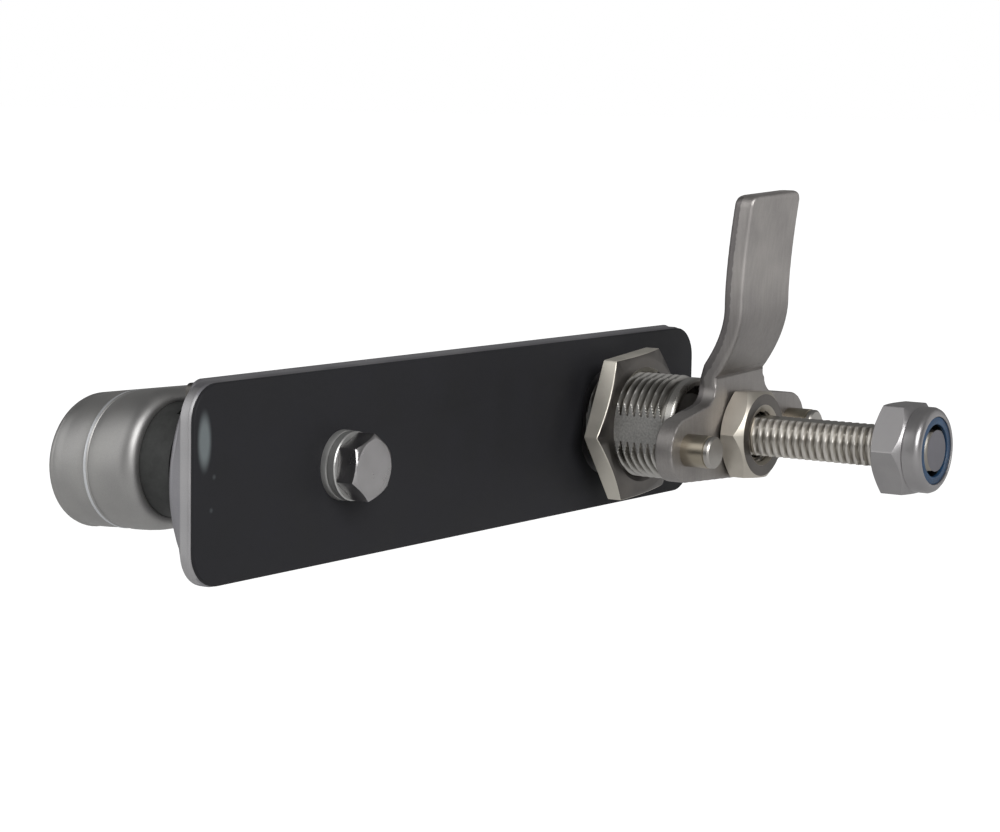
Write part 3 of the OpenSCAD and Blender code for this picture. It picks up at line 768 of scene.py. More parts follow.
# The bead at the bend is painted paler than the skin round it, a painted highlight, and is glossier
BEAD_HIGHLIGHT = CastStainless("cast_stainless_bead_painted_highlight", "#dcdee0", "#ccced1", 0.42, metal=0.8)
# Flats milled off the thread and blasted with coarser grit: pale, rough and lively
BLASTED_FLAT = CastStainless("blasted_stainless_flat", "#c3c2bf", "#a09f9c", 0.62, grit=0.4,
                             grit_depth=0.022, metal=0.6, speck=0.2)
# Machined facets: bright satin that changes from facet to facet
NUT_STEEL = MachinedStainless("machined_stainless_nut", "#ded9ce", "#cfcabf", 0.42, metal=0.7)
CAM_NUT_STEEL = MachinedStainless("machined_stainless_cam_nut", "#cdc7bc", "#bab4a9", 0.4, metal=0.8)
LOCK_NUT_STEEL = MachinedStainless("machined_stainless_lock_nut", "#a8a6a6", "#9c9a9b", 0.36,
                                   metal=0.85)
BOLT_STEEL = MachinedStainless("machined_stainless_bolt", "#b4b2b3", "#a5a3a3", 0.3)
# Faces turned with a coarse feed or cropped by a die, which face away from the plate: painted darker than
# the facets, as painted shade
NUT_FACE_SHADE = MachinedStainless("turned_stainless_nut_face_painted_shade", "#75716d", "#615e5b", 0.4)
# The rod's cropped end is painted darker, as painted shade on a face turned from the light
ROD_END_SHADE = MachinedStainless("cropped_stainless_rod_end_painted_shade", "#88878d", "#77767c", 0.42)
# Washers stamped from sheet and tumbled: pale and even
WASHER_STEEL = MachinedStainless("stamped_stainless_washer", "#c9c9c7", "#b5b5b3", 0.38, metal=0.7)
# Turned bars and pins: a clean highlight along them. The dark, dull copy is painted shade on the spindle
# inside the boss, and also dresses the lock tongue
PLAIN_STEEL = MachinedStainless("turned_stainless", "#b1aea9", "#a09c97", 0.34)
PIN_STEEL = MachinedStainless("turned_stainless_pin", "#a79f90", "#938b7c", 0.3)
DULL_STEEL = MachinedStainless("dull_stainless", "#6f6c69", "#5d5b58", 0.42)
# Threads: bright crests over roots darkened with painted shade; the rolled one is the smoother
BOSS_THREAD = MachinedStainless("cut_thread_stainless_boss", "#bfbdb9", "#a9a7a2", 0.3,
                                thread_low=8.95, thread_high=9.7)
ROD_THREAD = MachinedStainless("rolled_thread_stainless_rod", "#d6d2cb", "#c2beb7", 0.38, root="#98948d",
                               thread_low=4.25, thread_high=4.75)
# Hardened and blackened steel, and brass turned bare
SPRING_STEEL = MachinedStainless("blackened_spring_steel", "#55524f", "#3b3937", 0.42)
BRASS = MachinedStainless("turned_brass", "#c3a35c", "#a4854a", 0.3)
# Rubber from a sandblasted mould: nearly black, with hardly any gloss
RUBBER = MouldedRubber("moulded_nitrile_rubber", "#252529", "#202023", 0.62)
# The gasket carries a painted sheen streak near its upper left edge, and two small pale spots
GASKET_RUBBER = MouldedRubber("moulded_nitrile_rubber_gasket", "#252529", "#202023", 0.62, sheen_and_spots=True)
# Zinc under a sprayed matte coating, and plastics straight from the mould, which let light in a little
BLACK = Coating("black_coated_zinc", "#3b3c3b", "#2e2f2e", 0.66)
NYLON = Coating("blue_nylon", "#27496b", "#1f3d5a", 0.42, ior=1.53, scatter=0.1)
# The nylon's bore is painted near black: painted shade in the gaps round the rod
NYLON_BORE_SHADE = Coating("nylon_bore_painted_shade", "#11161c", "#0c1014", 0.4, ior=1.53)
ACETAL = Coating("natural_acetal", "#dcd7c8", "#cfc9b8", 0.42, ior=1.48, scatter=0.1)

_made: dict[str, bpy.types.Material] = {}


def material_of(finish: Finish) -> bpy.types.Material:
    """Finds the material of a finish, which is made on first use.

    Args:
        finish: The finish.

    Returns:
        Its material.
    """
    if finish.name not in _made:
        _made[finish.name] = finish.build()
    return _made[finish.name]


def dress(piece: Piece, finish: Finish) -> None:
    """Gives a piece one finish all over."""
    piece.data.materials.clear()
    piece.data.materials.append(material_of(finish))


def place_piece(piece: Piece, finish: Finish, body: Body, slot: str, *nodes: str) -> None:
    """Dresses a new piece, sets it on its body and hides the nodes that it replaces.

    Args:
        piece: The piece.
        finish: Its finish.
        body: Body that it rides on.
        slot: Not used.
        nodes: Nodes of the construction that it replaces.
    """
    dress(piece, finish)
    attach(piece, body.value)
    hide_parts(*nodes)
    LOG.info("%s: %d faces, on %s", piece.name, len(piece.data.polygons), body.value)


def dress_part(piece: Piece, finish: Finish, test: Callable[[Vector, Vector], bool]) -> None:
    """Gives some faces of a dressed piece a second finish.

    Args:
        piece: Piece that has its main finish.
        finish: Finish of the chosen faces.
        test: Says from a face's centre in millimetres and its normal whether it is chosen.
    """
    piece.data.materials.append(material_of(finish))
    for face in piece.data.polygons:
        if test(face.center / MM, face.normal):
            face.material_index = 1


def keep_nodes(**finishes: Finish) -> None:
    """Gives nodes of the construction a better finish and leaves their shapes.

    Args:
        finishes: Finish of each node, by its name.
    """
    for name, finish in finishes.items():
        dress(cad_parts[name], finish)
        LOG.info("%s: kept from the construction", name)


# Threads and nuts


@dataclass(frozen=True)
class Thread:
    """Metric thread: crest radius, pitch, and shares of the half pitch that crest and root take."""

    major_r: float
    pitch: float = 1.5
    crest: float = 0.125
    root: float = 0.25
    height: float = 0.6134

    @property
    def depth(self) -> float:
        """Depth from crest to root; 0.6134 of the pitch on a standard profile."""
        return self.height * self.pitch

    def radius(self, angle: float, height: float) -> float:
        """Radius of the right-hand thread at a place.

        Args:
            angle: Angle round the axis.
            height: Height along the axis.

        Returns:
            Distance of the surface from the axis.
        """
        turns = height / self.pitch + angle / TAU
        off_crest = abs(2 * (turns % 1.0) - 1)
        return self.major_r - self.depth * share((off_crest - self.crest) / (1 - self.crest - self.root))

    def rows(self, low: float, high: float, per_turn: int = 12) -> list[float]:
        """Heights of the mesh rows along the thread."""
        count = max(2, round((high - low) / self.pitch * per_turn))
        return [low + (high - low) * i / count for i in range(count + 1)]


@dataclass
class HexNut:
    """Hexagon nut on the rod or the boss, turned down at its corners."""

    name: str
    across: float
    low: float
    high: float
    thread: Thread
    low_bevel: float
    high_bevel: float
    turn: float = 0.0
    sink: float = 0.7
    corner_round: float = 0.25
    edge: float = 0.12
    clearance: float = 0.05

    @property
    def face_r(self) -> float:
        """Radius to which the corners are turned down."""
        return self.across / 2 * 0.95

    def hexagon(self, angle: float) -> float:
        """Radius of the rounded hexagon.

        Args:
            angle: Angle round the axis.

        Returns:
            Distance of the outline from the axis.
        """
        apothem, rho = self.across / 2, self.corner_round
        sixth = math.pi / 3
        off = (angle - math.radians(self.turn) + sixth / 2) % sixth - sixth / 2
        flat = apothem / math.cos(sixth / 2 - abs(off))
        along = flat * math.sin(sixth / 2 - abs(off))
        if along < (apothem - rho) * math.tan(sixth / 2):
            return flat
        middle = (apothem - rho) / math.cos(sixth / 2)
        return middle * math.cos(off) + math.sqrt(max(0.0, rho ** 2 - (middle * math.sin(off)) ** 2))

    def bevel(self, angle: float, depth: float) -> float:
        """Depth of the corner bevel at an angle, from its depth at a sharp corner."""
        corner = self.across / 2 / math.cos(math.pi / 6)
        return depth * (self.hexagon(angle) - self.face_r) / (corner - self.face_r)

    def angles(self) -> list[float]:
        """Angles that are dense at the corners of the hexagon."""
        zones = [(self.turn + 60 * i - 4, self.turn + 60 * i + 4) for i in range(-1, 7)]
        return focused_angles(2.5, 0.8, zones)

    def rim(self, face: float, inward: int, depth: float) -> Profile:
        """Outer edge at one face: bevelled, or with a small round.

        Args:
            face: Height of the face.
            inward: 1 where the nut lies above the face, -1 where it lies below.
            depth: Depth of the bevel at a sharp corner; 0 for none.

        Returns:
            Profile from the face to the flats.
        """
        e = self.edge
        if depth > 0:
            return [
                (self.face_r - e, face),
                (self.face_r + e * 0.5, face + inward * e * 0.25),
                (lambda a: self.hexagon(a) - e, lambda a: face + inward * self.bevel(a, depth)),
                (self.hexagon, lambda a: face + inward * (self.bevel(a, depth) + e)),
            ]
        return [(lambda a: self.hexagon(a) - e, face), (self.hexagon, face + inward * e)]

    def flats(self) -> Profile:
        """Profile of the outside, from the edge at the low face to the one at the high face."""
        low, high = self.rim(self.low, 1, self.low_bevel), self.rim(self.high, -1, self.high_bevel)
        return [*low, *reversed(high)]

    def wall(self, low: float, high: float) -> Profile:
        """Threaded wall of the hole, from a high row down to a low one."""
        return [(lambda a, y=y: self.thread.radius(a, y) + self.clearance, y)
                for y in reversed(self.thread.rows(low, high, 10))]

    def build(self) -> Piece:
        """Makes the nut.

        Returns:
            The piece, not yet dressed.
        """
        mouth = self.thread.major_r + self.sink
        wall = self.wall(self.low + self.sink, self.high - self.sink)
        profile = [(mouth, self.low), *self.flats(), (mouth, self.high), *wall]
        return turned(self.name, profile, self.angles(), ring=True, sharp=28)


# Sub-assemblies


@dataclass
class Base:
    """Cast base plate with its threaded boss and the thin nut on it."""

    reach: float = 123.6
    tail: float = 32.2
    width: float = 33.2
    low: float = 0.65
    high: float = 6.2
    lip_bevel: float = 0.5
    edge_low: float = 1.2
    edge_wall: float = 1.6
    corner_r: float = 6.2
    bow_corner_r: float = 2.6
    bow_r: float = 25.0
    bow_step: float = 0.8
    tail_step: float = 0.5
    front_round: float = 0.9
    collar_r: float = 15.0
    collar_top: float = 7.4
    lock_x: float = 112.5
    bolt_x: float = 84.8
    bolt_r: float = 3.0
    bore_r: float = 7.05
    seal_wall: float = 2.05
    seal_depth: float = 2.1
    boss: Thread = field(default_factory=lambda: Thread(10.0))
    boss_end: float = -20.0
    boss_flat: float = 8.75
    nut_across: float = 27.0
    nut_low: float = -8.2
    nut_high: float = -4.4

    @property
    def wall_top(self) -> float:
        """Height at which the straight edge ends and the bowed front starts."""
        return self.edge_low + self.edge_wall

    def directions(self) -> list[tuple[int, float]]:
        """Places of an outline's points.

        Returns:
            Quarter and share of each: shares below 1 run along a side, the rest round a corner.
        """
        along, corner = (4, 10, 8, 10), 12
        return [(quarter, place) for quarter, steps in enumerate(along)
                for place in [i / steps for i in range(steps)] + [1 + j / corner for j in range(corner)]]

    def outline(self, inset: float, bowed: bool) -> list[Flat]:
        """Outline of the plate in x and z.

        Args:
            inset: How far the outline lies inside the full one.
            bowed: True for the front outline, whose handle end is an arc.

        Returns:
            Points that correspond from one outline to the next.
        """
        half = self.width / 2
        r = self.bow_corner_r if bowed else self.corner_r
        right = self.tail - (self.tail_step if bowed else 0) - r
        left = -self.reach + r
        bow_x = -self.reach + self.bow_step + self.bow_r
        meet = 90.0
        if bowed:
            span = math.sqrt((self.bow_r - r) ** 2 - (half - r) ** 2)
            left = bow_x - span
            meet = math.degrees(math.atan2(half - r, -span))
        corners = [(right, half - r), (left, half - r), (left, r - half), (right, r - half)]
        points = []
        for quarter, place in self.directions():
            before, centre = corners[quarter - 1], corners[quarter]
            normal, radius = 90.0 * quarter, r - inset
            if place < 1:
                centre = tuple(b + (a - b) * place for a, b in zip(centre, before))
            else:
                normal += 90 * (place - 1)
            if bowed and (quarter == 2 or (quarter == 1 and place >= 1)):
                normal = self.bow_normal(quarter, place)
                centre = corners[1] if normal < 180 else corners[2]
                if meet <= normal <= 360 - meet:
                    centre, radius = (bow_x, 0.0), self.bow_r - inset
            points.append((centre[0] + radius * math.cos(math.radians(normal)),
                           centre[1] + radius * math.sin(math.radians(normal))))
        return points

    def bow_normal(self, quarter: int, place: float) -> float:
        """Direction of a point on the bowed handle end.

        Args:
            quarter: Quarter of the outline, 1 or 2.
            place: Place in it, as directions gives it.

        Returns:
            Angle of the outline's normal in degrees.
        """
        middle = 9.0
        if quarter == 1:
            return 90 + (90 - middle) * (place - 1)
        if place < 1:
            return 180 - middle + 2 * middle * place
        return 180 + middle + (90 - middle) * (place - 1)

    def plate(self) -> Piece:
        """Makes the plate with its collar and keeper hook.

        Returns:
            The piece, not yet dressed.
        """
        soft, bevel_top, shoulder = 0.06, self.low + self.lip_bevel, self.high - self.front_round
        wall = [(self.lip_bevel, self.low), (soft, bevel_top - soft), (0, bevel_top + 0.1),
                (0, self.wall_top - 0.3), (soft / 2, self.wall_top)]
        front = [(0, shoulder - 0.25)]
        front += [(self.front_round * (1 - math.cos(t)), shoulder + self.front_round * math.sin(t))
                  for t in (math.radians(18 * i) for i in range(6))]
        body = stacked("plate_casting", [
            [(x, y, z) for x, z in self.outline(inset, bowed)]
            for rings, bowed in ((wall, False), (front, True)) for inset, y in rings])
        edge = 0.4
        collar = turned("collar", [(self.collar_r, self.high - 1), (self.collar_r, self.collar_top - edge),
                                   (self.collar_r - edge, self.collar_top)], even_angles(96))
        catch, post, back = (x - self.lock_x for x in (11, 14, 16.5))
        under, over, foot = 8.9, 10.4, self.high - 0.5
        hook = prism("hook", [(catch, under), (post, under), (post, foot), (back, foot), (back, over - 1),
                              (back - 1, over), (catch, over)], -4, 4, across_z)
        cut(body, [collar, hook], Cut.UNION)
        seal = bar("seal_pocket", self.bore_r + self.seal_wall, self.collar_top - self.seal_depth,
                   self.collar_top + 1)
        bolt = bar("bolt_hole", self.bolt_r, 0, self.high - 1.2, (-self.bolt_x, 0), 32)
        return cut(body, [bar("bore", self.bore_r, 0, 9), seal, bolt])

    def boss_radius(self, angle: float, height: float) -> float:
        """Radius of the boss: its thread, cut off by the two side flats."""
        return flattened(self.boss.radius(angle, height), self.boss_flat, math.cos(angle))

    def threaded_boss(self) -> Piece:
        """Makes the boss behind the plate with its thread, end groove, end ring and hollow end.

        Returns:
            The piece, not yet dressed.
        """
        groove, ring, start, end = -17.2, -18.1, -0.6, self.boss_end
        neck_r, ring_r, hollow_r, hollow_low = 9.3, 9.75, 8.2, -16.5
        profile: Profile = [
            (lambda a, y=y: self.boss_radius(a, y), y) for y in reversed(self.boss.rows(groove, start))]
        profile += [(neck_r, groove - 0.15), (neck_r - 0.05, groove - 0.5), (neck_r, ring + 0.1),
                    (ring_r - 0.1, ring), (ring_r, ring - 0.12), (ring_r, end + 0.5),
                    (neck_r, end + 0.06), (neck_r - 0.1, end), (hollow_r + 0.15, end),
                    (hollow_r, end + 0.15), (hollow_r, hollow_low), (self.bore_r, hollow_low),
                    (self.bore_r, start)]
        angles = focused_angles(2.4, 0.6, four_zones(10, 32))
        return turned("boss_thread", profile, angles, ring=True, sharp=26)

    def build(self) -> None:
        """Makes plate and boss."""
        plate, boss = self.plate(), self.threaded_boss()
        place_piece(plate, PLATE_CAST, Body.BASE, "cast_steel", "base_plate")
        # Painted highlight: the straight edge walls facing -X get a paler finish
        dress_part(plate, PLATE_EDGE_HIGHLIGHT,
                   lambda centre, normal: centre.y < self.wall_top - 0.05 and normal.x < -0.5)
        place_piece(boss, BOSS_THREAD, Body.BASE, "cast_steel", "base_plate")
        dress_part(boss, BLASTED_FLAT, lambda centre, normal: abs(normal.x) > 0.97 and abs(centre.x) > 8.6)

    def fasten(self) -> None:
        """Makes the nut on the boss, whose rear face is turned and painted darker as shade."""
        nut = HexNut("boss_nut_thin", self.nut_across, self.nut_low, self.nut_high, self.boss, 0.9, 0,
                     turn=5.2, sink=1.0, corner_round=0.35).build()
        place_piece(nut, NUT_STEEL, Body.BASE, "turned_steel", "boss_nut")
        # Painted shade: the nut's faces turned away from the plate get a darker finish
        dress_part(nut, NUT_FACE_SHADE, lambda centre, normal: normal.y < -0.75)


@dataclass
class Gasket:
    """Rubber gasket with a rolled edge; the plate's lip covers the rest of its thickness."""

    base: Base
    inset: float = 0.2
    thickness: float = 0.65
    roll: float = 0.3
    room: float = 0.3
    bolt_r: float = 3.3

    def build(self) -> None:
        """Makes the gasket."""
        arcs = [math.radians(15 * i) for i in range(7)]
        rings = [(self.inset + self.roll * (1 - math.sin(t)), self.roll * (1 - math.cos(t))) for t in arcs]
        rings.append((self.inset, self.thickness))
        body = stacked("gasket_sheet", [
            [(x, y, z) for x, z in self.base.outline(inset, False)] for inset, y in rings], 45)
        radius, flat = self.base.boss.major_r + self.room, self.base.boss_flat + self.room
        hole = turned("hole", [(lambda a: flattened(radius, flat, math.cos(a)), y) for y in (-1, 3)],
                      even_angles(96))
        bolt = bar("bolt_clearance", self.bolt_r, -1, 3, (-self.base.bolt_x, 0), 32)
        cut(body, [hole, bolt], sharp=45)
        place_piece(body, GASKET_RUBBER, Body.BASE, "rubber_seal", "gasket")


@dataclass
class MountingBolt:
    """Small hexagon bolt with its spring washer and flat washer."""

    x: float = -84.8
    across: float = 10.0
    head: float = 4.0
    spring_t: float = 1.6
    flat_t: float = 1.2
    washer_r: float = 6.0
    spring_r: float = 5.9
    shank_r: float = 2.97
    shank_end: float = 4.0
    split: float = 20.0

    def bolt(self) -> Piece:
        """Makes the bolt, its head bevelled at the free end and faintly dished.

        Returns:
            The piece, not yet dressed.
        """
        low = -self.flat_t - self.spring_t - self.head
        shape = HexNut("head", self.across, low, low + self.head, Thread(3.0), 0.55, 0, turn=21.7,
                       corner_round=0.18, edge=0.1)
        thread = Thread(self.shank_r, 1.0)
        profile: Profile = [(shape.face_r - 1.4, low + 0.06), *shape.flats()]
        profile += [(lambda a, y=y: thread.radius(a, y), y)
                    for y in thread.rows(shape.high, self.shank_end, 8)]
        profile.append((self.shank_r - 0.7, self.shank_end + 0.4))
        return turned("bolt_with_head", profile, shape.angles(), centre=(self.x, 0), sharp=28)

    def washer(self) -> Piece:
        """Makes the stamped flat washer, one edge rolled by the die and the other sharp.

        Returns:
            The piece, not yet dressed.
        """
        r, hole, e, low = self.washer_r, 3.2, 0.2, -self.flat_t
        profile = [(hole, low), (r - 2 * e, low), (r - e * 0.6, low + e * 0.6), (r, low + 2 * e), (r, 0),
                   (hole, 0)]
        return turned("stamped_washer", profile, even_angles(96), ring=True, centre=(self.x, 0))

    def spring(self) -> Piece:
        """Makes the spring washer, a square wire ring that is split aslant.

        Returns:
            The piece, not yet dressed.
        """
        hole, r, e = 3.15, self.spring_r, 0.18
        low, high = -self.flat_t - self.spring_t, -self.flat_t
        section = [(hole, low + e), (hole + e, low), (r - e, low), (r, low + e),
                   (r, high - e), (r - e, high), (hole + e, high), (hole, high - e)]
        steps, gap, slant = 90, 6.0, 4.0
        rings = []
        for i in range(steps + 1):
            turn = self.split + gap + (360 - 2 * gap) * i / steps
            angles = [math.radians(turn + slant * ((y - low) / (high - low) - 0.5)) for _, y in section]
            rings.append([(self.x + radius * math.cos(a), y, radius * math.sin(a))
                          for (radius, y), a in zip(section, angles)])
        return stacked("split_washer", rings)

    def build(self) -> None:
        """Makes bolt and washers."""
        place_piece(self.bolt(), BOLT_STEEL, Body.BASE, "turned_steel", "mounting_bolt")
        place_piece(self.washer(), WASHER_STEEL, Body.BASE, "turned_steel", "flat_washer")
        place_piece(self.spring(), WASHER_STEEL, Body.BASE, "turned_steel", "spring_washer")


@dataclass
class Rod:
    """Draw rod with its two nuts."""

    thread: Thread = field(default_factory=lambda: Thread(5.0, crest=0.36, root=0.2, height=0.46))
    flat: float = 3.5
    shoulder: float = -25.6
    end: float = -69.65
    chamfer: float = 1.2
    shank_r: float = 5.5
    shank_flat: float = 3.6
    pivot_y: float = 22.0
    pivot_r: float = 2.53
    play: float = 1.3
    nut_across: float = 16.0
    cam_nut_low: float = -34.3
    cam_nut_high: float = -29.3
    lock_nut_end: float = -69.7
    lock_nut_low: float = -66.4
    lock_nut_high: float = -60.2
    collar_r: float = 7.8
    lip: float = 6.15
    insert_low: float = -69.5
    insert_high: float = -67.05

    def rod_radius(self, angle: float, height: float) -> float:
        """Radius of the rod: its thread, cut off by the upper and lower flats."""
        return flattened(self.thread.radius(angle, height), self.flat, math.sin(angle))

    def threaded_rod(self) -> Piece:
        """Makes the threaded end of the rod, from the shoulder to its chamfered tip.

        Returns:
            The piece, not yet dressed.
        """
        profile: Profile = [(3.5, self.end), (3.75, self.end + 0.05)]
        for y in self.thread.rows(self.end + 0.2, self.shoulder + 0.4, 10):
            tip = self.thread.major_r - self.chamfer + (y - self.end)
            profile.append((lambda a, y=y, tip=tip: min(self.rod_radius(a, y), tip), y))
        angles = focused_angles(3.0, 0.8, four_zones(40, 64))
        return swing(turned("rod_thread", profile, angles, sharp=26), self.play)

    def shank(self) -> Piece:
        """Makes the flattened shank between shoulder and pivot, with its eye.

        Returns:
            The piece, not yet dressed.
        """
        def outline(angle: float) -> float:
            """Radius of the shank at an angle."""
            return flattened(self.shank_r, self.shank_flat, math.sin(angle))

        edge = 0.15
        profile = [(lambda a: outline(a) - edge, self.shoulder), (outline, self.shoulder + edge),
                   (outline, self.pivot_y)]
        body = turned("rod_shank", profile, even_angles(96))
        cut(body, [cross_bar("eye", self.shank_r, self.pivot_y, self.shank_flat, 64)], Cut.UNION)
        return swing(cut(body, [cross_bar("hole", self.pivot_r, self.pivot_y, 9)]), self.play)

    def lock_nut(self) -> Piece:
        """Makes the lock nut: hexagon, round collar rolled in over the insert, and the insert's seat.

        Returns:
            The piece, not yet dressed.
        """
        shape = HexNut("nut", self.nut_across, self.lock_nut_low, self.lock_nut_high, self.thread, 1.2, 0.8)
        end, r, lip = self.lock_nut_end, self.collar_r, self.lip
        seat = self.insert_high + 0.05
        profile: Profile = [
            (lip, end + 0.5), (lip, end + 0.1), (lip + 0.12, end), (lip + 0.4, end), (r - 0.7, end + 0.2),
            (r - 0.25, end + 0.6), (r, end + 1.2), (r, shape.low - 0.3), (r + 0.05, shape.low - 0.1),
            *shape.flats()[1:], (self.thread.major_r + shape.sink, shape.high),
            *shape.wall(seat + 0.1, shape.high - shape.sink), (5.05, seat), (lip, seat)]
        return turned("lock_nut_with_collar", profile, shape.angles(), ring=True, sharp=28)

    def nylon(self) -> Piece:
        """Makes the nylon insert, slightly crowned and pressed to the flats of the rod.

        Returns:
            The piece, not yet dressed.
        """
        def bore(angle: float) -> float:
            """Radius of the hole at an angle."""
            return flattened(5.05, self.flat + 0.05, math.sin(angle))

        low, mouth, rim = self.insert_low, 4.75, self.lip - 0.03
        profile: Profile = [(mouth, low + 0.1), (mouth + 0.1, low), (rim - 0.17, low + 0.04),
                            (rim, low + 0.15), (rim, self.insert_high), (bore, self.insert_high),
                            (bore, low + 2.3), (mouth, low + 2.2), (mouth, low + 0.6)]
        return swing(turned("nylon_ring", profile, even_angles(120), ring=True, sharp=40), self.play)

    def build(self) -> None:
        """Makes rod, nuts and insert."""
        rod = self.threaded_rod()
        place_piece(rod, ROD_THREAD, Body.ROD, "turned_steel", "draw_rod")
        # Painted shade: the rod's cropped end gets a darker finish
        dress_part(rod, ROD_END_SHADE, lambda centre, normal: centre.y < self.end + 0.1)
        place_piece(self.shank(), PLAIN_STEEL, Body.ROD, "turned_steel", "draw_rod")
        nut = HexNut("cam_nut_thin", self.nut_across, self.cam_nut_low, self.cam_nut_high, self.thread,
                     1.3, 0.85, turn=-3.6).build()
        place_piece(nut, CAM_NUT_STEEL, Body.ROD, "turned_steel", "cam_nut")
        # Painted shade: the nut's faces turned away from the plate get a darker finish
        dress_part(nut, NUT_FACE_SHADE, lambda centre, normal: normal.y < -0.9)
        place_piece(self.lock_nut(), LOCK_NUT_STEEL, Body.ROD, "turned_steel", "lock_nut")
        nylon = self.nylon()
        place_piece(nylon, NYLON, Body.ROD, "blue_nylon", "nylon_insert")
        # Painted shade: the bore of the insert gets a near-black finish
        dress_part(nylon, NYLON_BORE_SHADE, lambda centre, normal: (
            math.hypot(centre.x, centre.z) < 4.9 and centre.y > self.end + 1.0))


@dataclass
class Cam:
    """Cranked cam with its two ears and rod pins."""

    back: float = -25.6
    thickness: float = 3.7
    hub_r: float = 8.3
    half_w: float = 9.25
    top: float = 45.3
    tongue_t: float = 4.0
    crank_depth: float = 5.4
    crank_start: float = 11.5
    crank_end: float = 25.0
    lean: float = 2.5
    ear_x: float = 19.3
    ear_drop: float = 0.6
    ear_r: float = 6.0
    pin_r: float = 3.0
    pin_l: float = 5.8
    turn: float = 2.4
    edge_r: float = 0.85
    corner_r: float = 2.2
    hole_r: float = 5.08
    hole_flat: float = 3.78
    crease: float = 0.3
    fillet_r: float = 3.4

    @property
    def front(self) -> float:
        """Height of the rear face of the hub."""
        return self.back - self.thickness

    def cranked(self, z: float) -> float:
        """Share of the crank that lies below a height."""
        return share((z - self.crank_start) / (self.crank_end - self.crank_start))

    def set_back(self, z: float) -> float:
        """Set-back of the tongue's rear face at a height."""
        straight = max(0.0, z - self.crank_end) / (self.top - self.crank_end)
        return self.crank_depth * (1 - (1 - self.cranked(z)) ** 1.9) + self.lean * straight ** 1.5

    def section(self, z: float) -> list[Point]:
        """Rounded section of the tongue, square to its rear face.

        Args:
            z: Height at which the section meets the rear face.

        Returns:
            Its points, in order round the section.
        """
        ahead, tip = 0.05, self.top - z
        slope = (self.set_back(z + ahead) - self.set_back(z)) / ahead * share(tip / 3)
        length = math.hypot(1, slope)
        t = self.thickness + (self.tongue_t - self.thickness) * self.cranked(z)
        into_tip, into_edge = share(1 - tip / self.corner_r), share(1 - tip / self.edge_r)
        half = self.half_w - self.corner_r * (1 - math.sqrt(1 - into_tip ** 2))
        thin = self.edge_r * (1 - math.sqrt(1 - into_edge ** 2)) * 0.85
        r = min(self.edge_r, t / 2 - thin - 0.05)
        side, low, high = half - r, thin + r, t - thin - r
        points = []
        for i, corner in enumerate(((side, high), (-side, high), (-side, low), (side, low))):
            points += [(a, self.front - self.set_back(z) + b / length, z + b * slope / length)
                       for a, b in arc(corner, r, 90 * i, 90 * (i + 1), 5)]
        return points

    def ear(self, side: int, pitch: float, tangent: float, tilt: float) -> Piece:
        """Makes one ear with its tangents to the hub.

        Args:
            side: 1 for the ear at +X, -1 for the other.
            pitch: Distance from the hub to the ear.
            tangent: Angle of the tangent in degrees.
            tilt: Angle in degrees by which the ear hangs.

        Returns:
            The piece.
        """
        link = arc((pitch, 0), self.ear_r, tangent - 90, 90 - tangent, 24)
        link += arc((0, 0), self.hub_r, 90 - tangent, 270 + tangent, 32)
        cos, sin = math.cos(math.radians(tilt)), math.sin(math.radians(tilt))
        outline = [(side * (x * cos - z * sin), x * sin + z * cos) for x, z in link]
        return prism("ear", outline, self.front, self.back, across_y)

    def casting(self) -> Piece:
        """Makes hub, ears and tongue, fused with cast edges; the hole for the rod is machined.

        Returns:
            The piece, not yet dressed.
        """
        start = self.crank_start
        heights = [2.0, 6.0, 9.0, start - 0.3, start + 0.1]
        heights += [start + (self.top - self.edge_r - start) * i / 40 for i in range(1, 40)]
        heights += [self.top - self.corner_r * (1 - math.sin(math.radians(a)))
                    for a in (0, 20, 40, 55, 70, 80, 90)]
        parts = [stacked("tongue", [self.section(z) for z in sorted(heights)]),
                 bar("hub", self.hub_r, self.front, self.back, steps=96)]
        pitch = math.hypot(self.ear_x, self.ear_drop)
        tangent = math.degrees(math.asin((self.hub_r - self.ear_r) / pitch))
        tilt = -math.degrees(math.atan2(self.ear_drop, self.ear_x))
        for side in (1, -1):
            parts += [self.ear(side, pitch, tangent, tilt), self.fillet(side, tangent - tilt)]
        body = cast_edges(join("cam_casting", parts), 0.25, 3)
        hole = turned("hole", [(lambda a: flattened(self.hole_r, self.hole_flat, math.sin(a)), y)
                               for y in (self.front - 2, self.back + 2)], even_angles(96))
        wedge = ((self.front + self.crease, start), (self.front - 1, start + 1.3),
                 (self.front - 1, start - 1.3))
        groove = stacked("crease", [[(x, y, z) for y, z in wedge] for x in (-self.half_w, self.half_w)])
        cut(body, [hole, groove], sharp=50)
        self.mark_parting(body)
        return swing(body, -self.turn)

    def fillet(self, side: int, angle: float) -> Piece:
        """Makes the fillet between the side of the tongue and an ear.

        Args:
            side: 1 for the ear at +X, -1 for the other.
            angle: Slope of the ear's upper edge in degrees.

        Returns:
            The piece.
        """
        r, inner, low = self.fillet_r, self.half_w - 2, 2.0
        edge, cos = self.half_w + r, math.cos(math.radians(angle))
        middle = self.hub_r / cos - edge * math.tan(math.radians(angle)) + r / cos
        curve = arc((edge, middle), r, 180, 270 - angle, 12)
        outline = [(inner, low), (inner, middle), *curve, (curve[-1][0], low)]
        return prism("fillet", [(side * x, z) for x, z in outline], self.front, self.back, across_y)

